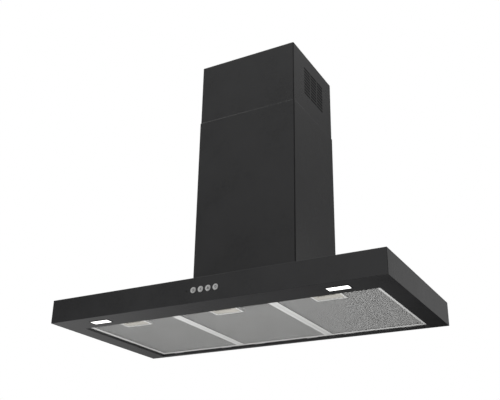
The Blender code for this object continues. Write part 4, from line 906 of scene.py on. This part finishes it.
say("chimney")
chimney = {
    "edge": 0.2 * mm,
    "topRound": 0.6 * mm,
    "lip": 1.2 * mm,
    "bracketEdge": 0.4 * mm,
    "boxEdge": 0.2 * mm,
}
lowerLow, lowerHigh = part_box("lower_chimney_cover")
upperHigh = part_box("upper_chimney_cover")[1]


# True along the outer edge of the lower cover's top, where the two covers meet.
def coverLip(first, second):
    def outer(point):
        onSide = abs(abs(point.x) - lowerHigh.x) < tiny or abs(point.y - lowerLow.y) < tiny
        return onSide and abs(point.z - lowerHigh.z) < tiny

    return outer(first) and outer(second)


# True on the upper cover's sides, which the louvres pierce.
def louvredSide(point):
    return abs(point.x) > upperHigh.x - mm


# Painted highlight: the outer edge round the lower cover's top gets a lighter enamel, standing in for the
# thin light line that this edge catches.
def paintLipHighlight(cover):
    cover.data.materials.append(finishes["lip_highlight"])
    for face in cover.data.polygons:
        if face.center.z > lowerHigh.z - chimney["lip"] and face.normal.z > 0.02:
            face.material_index = 1


paintLipHighlight(edged("lower_chimney_cover", chimney["edge"], 2, (coverLip, chimney["topRound"])))
edged("upper_chimney_cover", chimney["edge"], 2, None, louvredSide)
for sheet in ("upper_wall_bracket", "hanging_bracket_left", "hanging_bracket_right"):
    edged(sheet, chimney["bracketEdge"])
edged("blower_box", chimney["boxEdge"])


say("blower")
wheel = {
    "blades": 40,
    "bladeDepth": 13.0 * mm,
    "bladeSheet": 0.9 * mm,
    "lean": 9.0,  # degrees that a tip leads its root
    "ring": 2.0 * mm,
    "disc": 1.0 * mm,
    "hub": 12.0 * mm,
    "bore": 4.3 * mm,
    "hubBack": 14.0 * mm,
    "hubFront": 8.0 * mm,
    "steps": 72,
}


# A double-inlet wheel: end rings, middle disc and hub, and curved blades that lean forward.
def impellerWheel():
    low, high, middle = boxOf("impeller")
    radius, half = (high.z - low.z) / 2, (high.x - low.x) / 2
    eye = radius - wheel["bladeDepth"]
    bm = bmesh.new()
    bore, hub, disc, steps = wheel["bore"], wheel["hub"], wheel["disc"], wheel["steps"]
    core = [
        (bore, -wheel["hubBack"]), (hub, -wheel["hubBack"]),
        (hub + 2 * mm, -disc - 1.5 * mm), (hub + 4 * mm, -disc),
        (radius, -disc), (radius, disc),
        (hub + 4 * mm, disc), (hub, wheel["hubFront"]), (bore, wheel["hubFront"]),
    ]
    turn(bm, core, "X", (0, 0, 0), steps)
    for side in (-1, 1):
        outer, inner = side * half, side * (half - wheel["ring"])
        turn(bm, [(eye, outer), (radius, outer), (radius, inner), (eye, inner)], "X", (0, 0, 0), steps)
    for blade in range(wheel["blades"]):
        start = math.tau * blade / wheel["blades"]
        path = []
        for k in range(7):
            share = k / 6
            reach = eye + 0.5 * mm + (wheel["bladeDepth"] - mm) * share
            angle = start + math.radians(wheel["lean"]) * share ** 1.8
            path.append((reach * math.cos(angle), reach * math.sin(angle)))
        prismInto(bm, stroke(path, wheel["bladeSheet"]), "X", -half + 0.5 * mm, half - 0.5 * mm)
    thing = objectFrom(bm, "impeller_wheel")
    thing.location = (middle.x, middle.y, middle.z)
    hang(thing, "impeller")


impellerWheel()
low, high, middle = boxOf("motor_stator")
can = {
    "bore": 4.3 * mm,
    "rotorRoom": 22.0 * mm,
    "cap": 4.0 * mm,
    "round": 3.0 * mm,
    "groove": 0.6 * mm,
    "grooves": (0.35, 0.65),  # as shares of its length
}
radius, start, end = (high.z - low.z) / 2, low.x, high.x
shell = [
    (can["bore"], end), (can["bore"], end - can["cap"]),
    (can["rotorRoom"], end - can["cap"]), (can["rotorRoom"], start),
]
for angle in [math.radians(15 * k) for k in range(7)]:
    inwards, along = 1 - math.sin(angle), 1 - math.cos(angle)
    shell.append((radius - can["round"] * inwards, start + can["round"] * along))
sunk = radius - can["groove"]
for groove in can["grooves"]:
    at = start + (end - start) * groove
    shell += [(radius, at - mm), (sunk, at - 0.5 * mm), (sunk, at + 0.5 * mm), (radius, at + mm)]
shell += [(radius, end - mm), (radius - mm, end)]
turnedPiece("motor_can", "motor_stator", shell, "X", (0, middle.y, middle.z), 72)
blowerEdge = {"rotor": 0.3 * mm, "bracket": 0.4 * mm, "scroll": 0.5 * mm}
edged("motor_rotor", blowerEdge["rotor"])
edged("motor_bracket", blowerEdge["bracket"])
for side in ("left", "right"):
    edged(f"scroll_housing_{side}", blowerEdge["scroll"])


say("duct collar")
collar = {
    "wall": 1.5 * mm,
    "plate": 2.0 * mm,
    "pinOut": 1.0 * mm,
    "pinRoom": 0.4 * mm,
    "stop": 3.5 * mm,
    "grooveDrop": 9.0 * mm,
    "groove": 0.5 * mm,
    "steps": 120,
    "edge": 0.25 * mm,
    "flapRound": 0.15 * mm,
    "flapEdge": 1.2 * mm,
    "flapRoot": 4.2 * mm,
    "flapSheet": 1.5 * mm,
    "knuckle": 3.3 * mm,
    "knuckleLength": 14 * mm,
    "knucklePitch": 20 * mm,
    "rib": 1.2 * mm,
    "ribRise": 1.4 * mm,
    "ribPitch": 22 * mm,
    "ribShort": 4 * mm,  # from a rib's end to the flap's edge
    "ribStart": 8.0 * mm,  # from the root, so that the ribs miss each other when both flaps are up
}
pinLow, pinHigh, pinMiddle = boxOf("flap_pin")
pinRadius = (pinHigh.z - pinLow.z) / 2
collarLow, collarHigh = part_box("duct_collar")
collarRadius = (pinHigh.y - pinLow.y) / 2 - collar["pinOut"]
collarInner = collarRadius - collar["wall"]


# A spigot with a groove for the duct's tie, a stop ring under the flaps, and a square foot.
def ductCollar():
    top = collarHigh.z - collarLow.z
    stopTop = pinMiddle.z - collarLow.z - collar["flapSheet"] / 2 - 0.3 * mm
    groove = top - collar["grooveDrop"]
    profile = [
        (collarInner, 0), (collarRadius, 0),
        (collarRadius, groove - 2 * mm), (collarRadius - collar["groove"], groove - mm),
        (collarRadius - collar["groove"], groove + mm), (collarRadius, groove + 2 * mm),
        (collarRadius, top - mm), (collarRadius - 0.6 * mm, top),
        (collarInner + 0.3 * mm, top), (collarInner, top - 0.3 * mm),
        (collarInner, stopTop), (collarInner - collar["stop"], stopTop - 0.3 * mm),
        (collarInner - collar["stop"], stopTop - collar["wall"]), (collarInner, stopTop - 2 * collar["wall"]),
    ]
    bm = bmesh.new()
    turn(bm, profile, "Z", (0, pinMiddle.y, collarLow.z), collar["steps"])
    thing = objectFrom(bm, "duct_spigot")
    bm = bmesh.new()
    block(bm, collarLow, (collarHigh.x, collarHigh.y, collarLow.z + collar["plate"]))
    foot = objectFrom(bm, "foot")
    bm = bmesh.new()
    hole = collarRadius - collar["wall"] / 2
    plug = [(0, -mm), (hole, -mm), (hole, 5 * mm), (0, 5 * mm)]
    turn(bm, plug, "Z", (0, pinMiddle.y, collarLow.z), collar["steps"])
    combine(foot, objectFrom(bm, "hole"), "DIFFERENCE")
    combine(thing, foot, "UNION")
    bm = bmesh.new()
    room = pinRadius + collar["pinRoom"]
    reach = pinHigh.y - pinMiddle.y + mm
    turn(bm, [(0, -reach), (room, -reach), (room, reach), (0, reach)], "Y", pinMiddle, 28)
    combine(thing, objectFrom(bm, "pin hole"), "DIFFERENCE")
    rounded(thing, collar["edge"])
    hang(thing, "duct_collar")


# Half a disc with two knuckles and three stiffening ribs on its upper face.
def dampingFlap(side):
    sign = -1 if side == "left" else 1
    radius = collarInner - collar["flapEdge"]
    start = math.acos(collar["flapRoot"] / radius)
    centre, half = pinMiddle, collar["flapSheet"] / 2
    angles = [start - 2 * start * k / 56 for k in range(57)]
    outline = [(sign * radius * math.cos(a), centre.y + radius * math.sin(a)) for a in angles]
    bm = bmesh.new()
    prismInto(bm, outline, "Z", centre.z - half, centre.z + half)
    bore, knuckle, length = pinRadius + collar["pinRoom"], collar["knuckle"], collar["knuckleLength"]
    for step in (-1, 1):
        y = centre.y + (step - sign / 2) * collar["knucklePitch"]
        near, far = sorted((sign * (bore + knuckle) / 2, sign * (collar["flapRoot"] + collar["flapSheet"])))
        block(bm, (near, y - length / 2, centre.z - half), (far, y + length / 2, centre.z + half))
        tube = [(bore, -length / 2), (knuckle, -length / 2), (knuckle, length / 2), (bore, length / 2)]
        turn(bm, tube, "Y", (0, y, centre.z), 32)
    ribHalf, ribTop = collar["rib"] / 2, centre.z + half + collar["ribRise"]
    for rib in (-1, 0, 1):
        offset = rib * collar["ribPitch"]
        ribEnd = math.sqrt(radius**2 - offset**2) - collar["ribShort"]
        near, far = sorted((sign * (collar["flapRoot"] + collar["ribStart"]), sign * ribEnd))
        y = centre.y + offset
        block(bm, (near, y - ribHalf, centre.z), (far, y + ribHalf, ribTop))
    thing = objectFrom(bm, f"damping_flap_{side}")
    rounded(thing, collar["flapRound"])
    hang(thing, f"flap_{side}")


ductCollar()
for side in ("left", "right"):
    dampingFlap(side)
pinHalf = (pinHigh.y - pinLow.y) / 2
turnedPiece(
    "hinge_wire", "flap_pin",
    [(0, -pinHalf), (pinRadius - 0.3 * mm, -pinHalf), (pinRadius, -pinHalf + 0.3 * mm),
     (pinRadius, pinHalf - 0.3 * mm), (pinRadius - 0.3 * mm, pinHalf), (0, pinHalf)],
    "Y", pinMiddle, 32,
)


say("electrics and screws")
electrics = {"boxEdge": 0.6 * mm, "boardEdge": 0.15 * mm}
for box in ("control_box", "control_box_lid"):
    edged(box, electrics["boxEdge"])
edged("control_board", electrics["boardEdge"])
low, high, middle = boxOf("cable_gland")
gland = {"bore": 4.0 * mm, "thread": 6.5 * mm, "sink": 5.0 * mm, "flange": 2.3 * mm, "nut": 8.4 * mm}
bm = bmesh.new()
top = high.z - low.z - gland["sink"]
widest = (high.x - low.x) / 2
turn(
    bm,
    [(gland["bore"], -gland["sink"]), (gland["thread"], -gland["sink"]),
     (gland["thread"], gland["flange"]), (widest - 0.6 * mm, gland["flange"]),
     (widest - 0.6 * mm, gland["nut"]), (gland["thread"] + mm, gland["nut"] + 2 * mm),
     (gland["thread"], top), (gland["bore"] + 0.6 * mm, top), (gland["bore"], top - 0.6 * mm)],
    "Z", (0, 0, 0), 48,
)
hexagon = arcPoints(widest, 0, 300, 5)
prismInto(bm, hexagon, "Z", gland["flange"], gland["flange"] + 2.5 * mm)
thing = objectFrom(bm, "gland_body")
thing.location = (middle.x, middle.y, low.z + gland["sink"])
hang(thing, "cable_gland")

low, high, middle = boxOf("motor_capacitor")
radius, height = (high.x - low.x) / 2, high.z - low.z
capTop = height - 6 * mm
bm = bmesh.new()
turn(
    bm,
    [(0, 0), (radius - 1.2 * mm, 0), (radius, 1.2 * mm),
     (radius, capTop - 5 * mm), (radius - 0.9 * mm, capTop - 4 * mm),
     (radius - 0.9 * mm, capTop - 3 * mm), (radius, capTop - 2 * mm),
     (radius, capTop - 0.5 * mm), (radius - 0.6 * mm, capTop),
     (radius - 1.4 * mm, capTop - 0.6 * mm), (0, capTop - 0.6 * mm)],
    "Z", (0, 0, 0), 64,
)
terminal = {"apart": 5 * mm, "half": 3.15 * mm, "thick": 0.4 * mm}
for side in (-1, 1):
    x = side * terminal["apart"]
    terminalLow = (x - terminal["half"], -terminal["thick"], capTop - mm)
    block(bm, terminalLow, (x + terminal["half"], terminal["thick"], height))
thing = objectFrom(bm, "capacitor_can")
thing.location = (middle.x, middle.y, low.z)
hang(thing, "motor_capacitor")

screwPiece = {
    "radius": 2.2 * mm,
    "head": 4.5 * mm,
    "rise": 3.0 * mm,
    "slot": 0.9 * mm,
    "slotLength": 5.2 * mm,
    "pitch": 0.9 * mm,
}


# A pan-head screw with a cross recess and a rolled thread.
def boxScrew(number):
    node = f"box_screw_{number}"
    low, high, middle = boxOf(node)
    head, rise, radius = screwPiece["head"], screwPiece["rise"], screwPiece["radius"]
    length = high.z - low.z - rise
    threads = int(length / screwPiece["pitch"])
    shank = [(0, -length), (radius * 0.7, -length)]
    for ridge in range(threads):
        at = -length + (ridge + 0.5) * length / threads
        shank += [(radius, at), (radius * 0.82, at + length / threads / 2)]
    dome = [(head, 0), (head, rise * 0.35)]
    for angle in [math.radians(15 * k) for k in range(1, 6)]:
        dome.append((head * math.cos(angle), rise * (0.35 + 0.65 * math.sin(angle))))
    bm = bmesh.new()
    turn(bm, shank + dome + [(0, rise)], "Z", (0, 0, 0), 40)
    thing = objectFrom(bm, f"cross_screw_{number}")
    bm = bmesh.new()
    slot, reach = screwPiece["slot"] / 2, screwPiece["slotLength"] / 2
    block(bm, (-reach, -slot, rise * 0.4), (reach, slot, rise * 1.5))
    cross = objectFrom(bm, "cross")
    bm = bmesh.new()
    block(bm, (-slot, -reach, rise * 0.4), (slot, reach, rise * 1.5))
    combine(cross, objectFrom(bm, "cross arm"), "UNION")
    combine(thing, cross, "DIFFERENCE")
    thing.location = (middle.x, middle.y, high.z - rise)
    hang(thing, node)


for number in (1, 2, 3, 4):
    boxScrew(number)


say("floor")
half = studio["floorSize"] / 2
bm = bmesh.new()
bmesh.ops.create_grid(bm, x_segments=4, y_segments=4, size=half)
floor = objectFrom(bm, "floor")
floor.location.z = canopyLow.z - studio["floorDrop"]
floor.data.materials.append(floorFinish())
floor.visible_glossy = False

for node in nodes.values():
    if not node.hide_render:
        node.data.materials.clear()
        node.data.materials.append(finishes[slotOf[node.name]])

say("done")
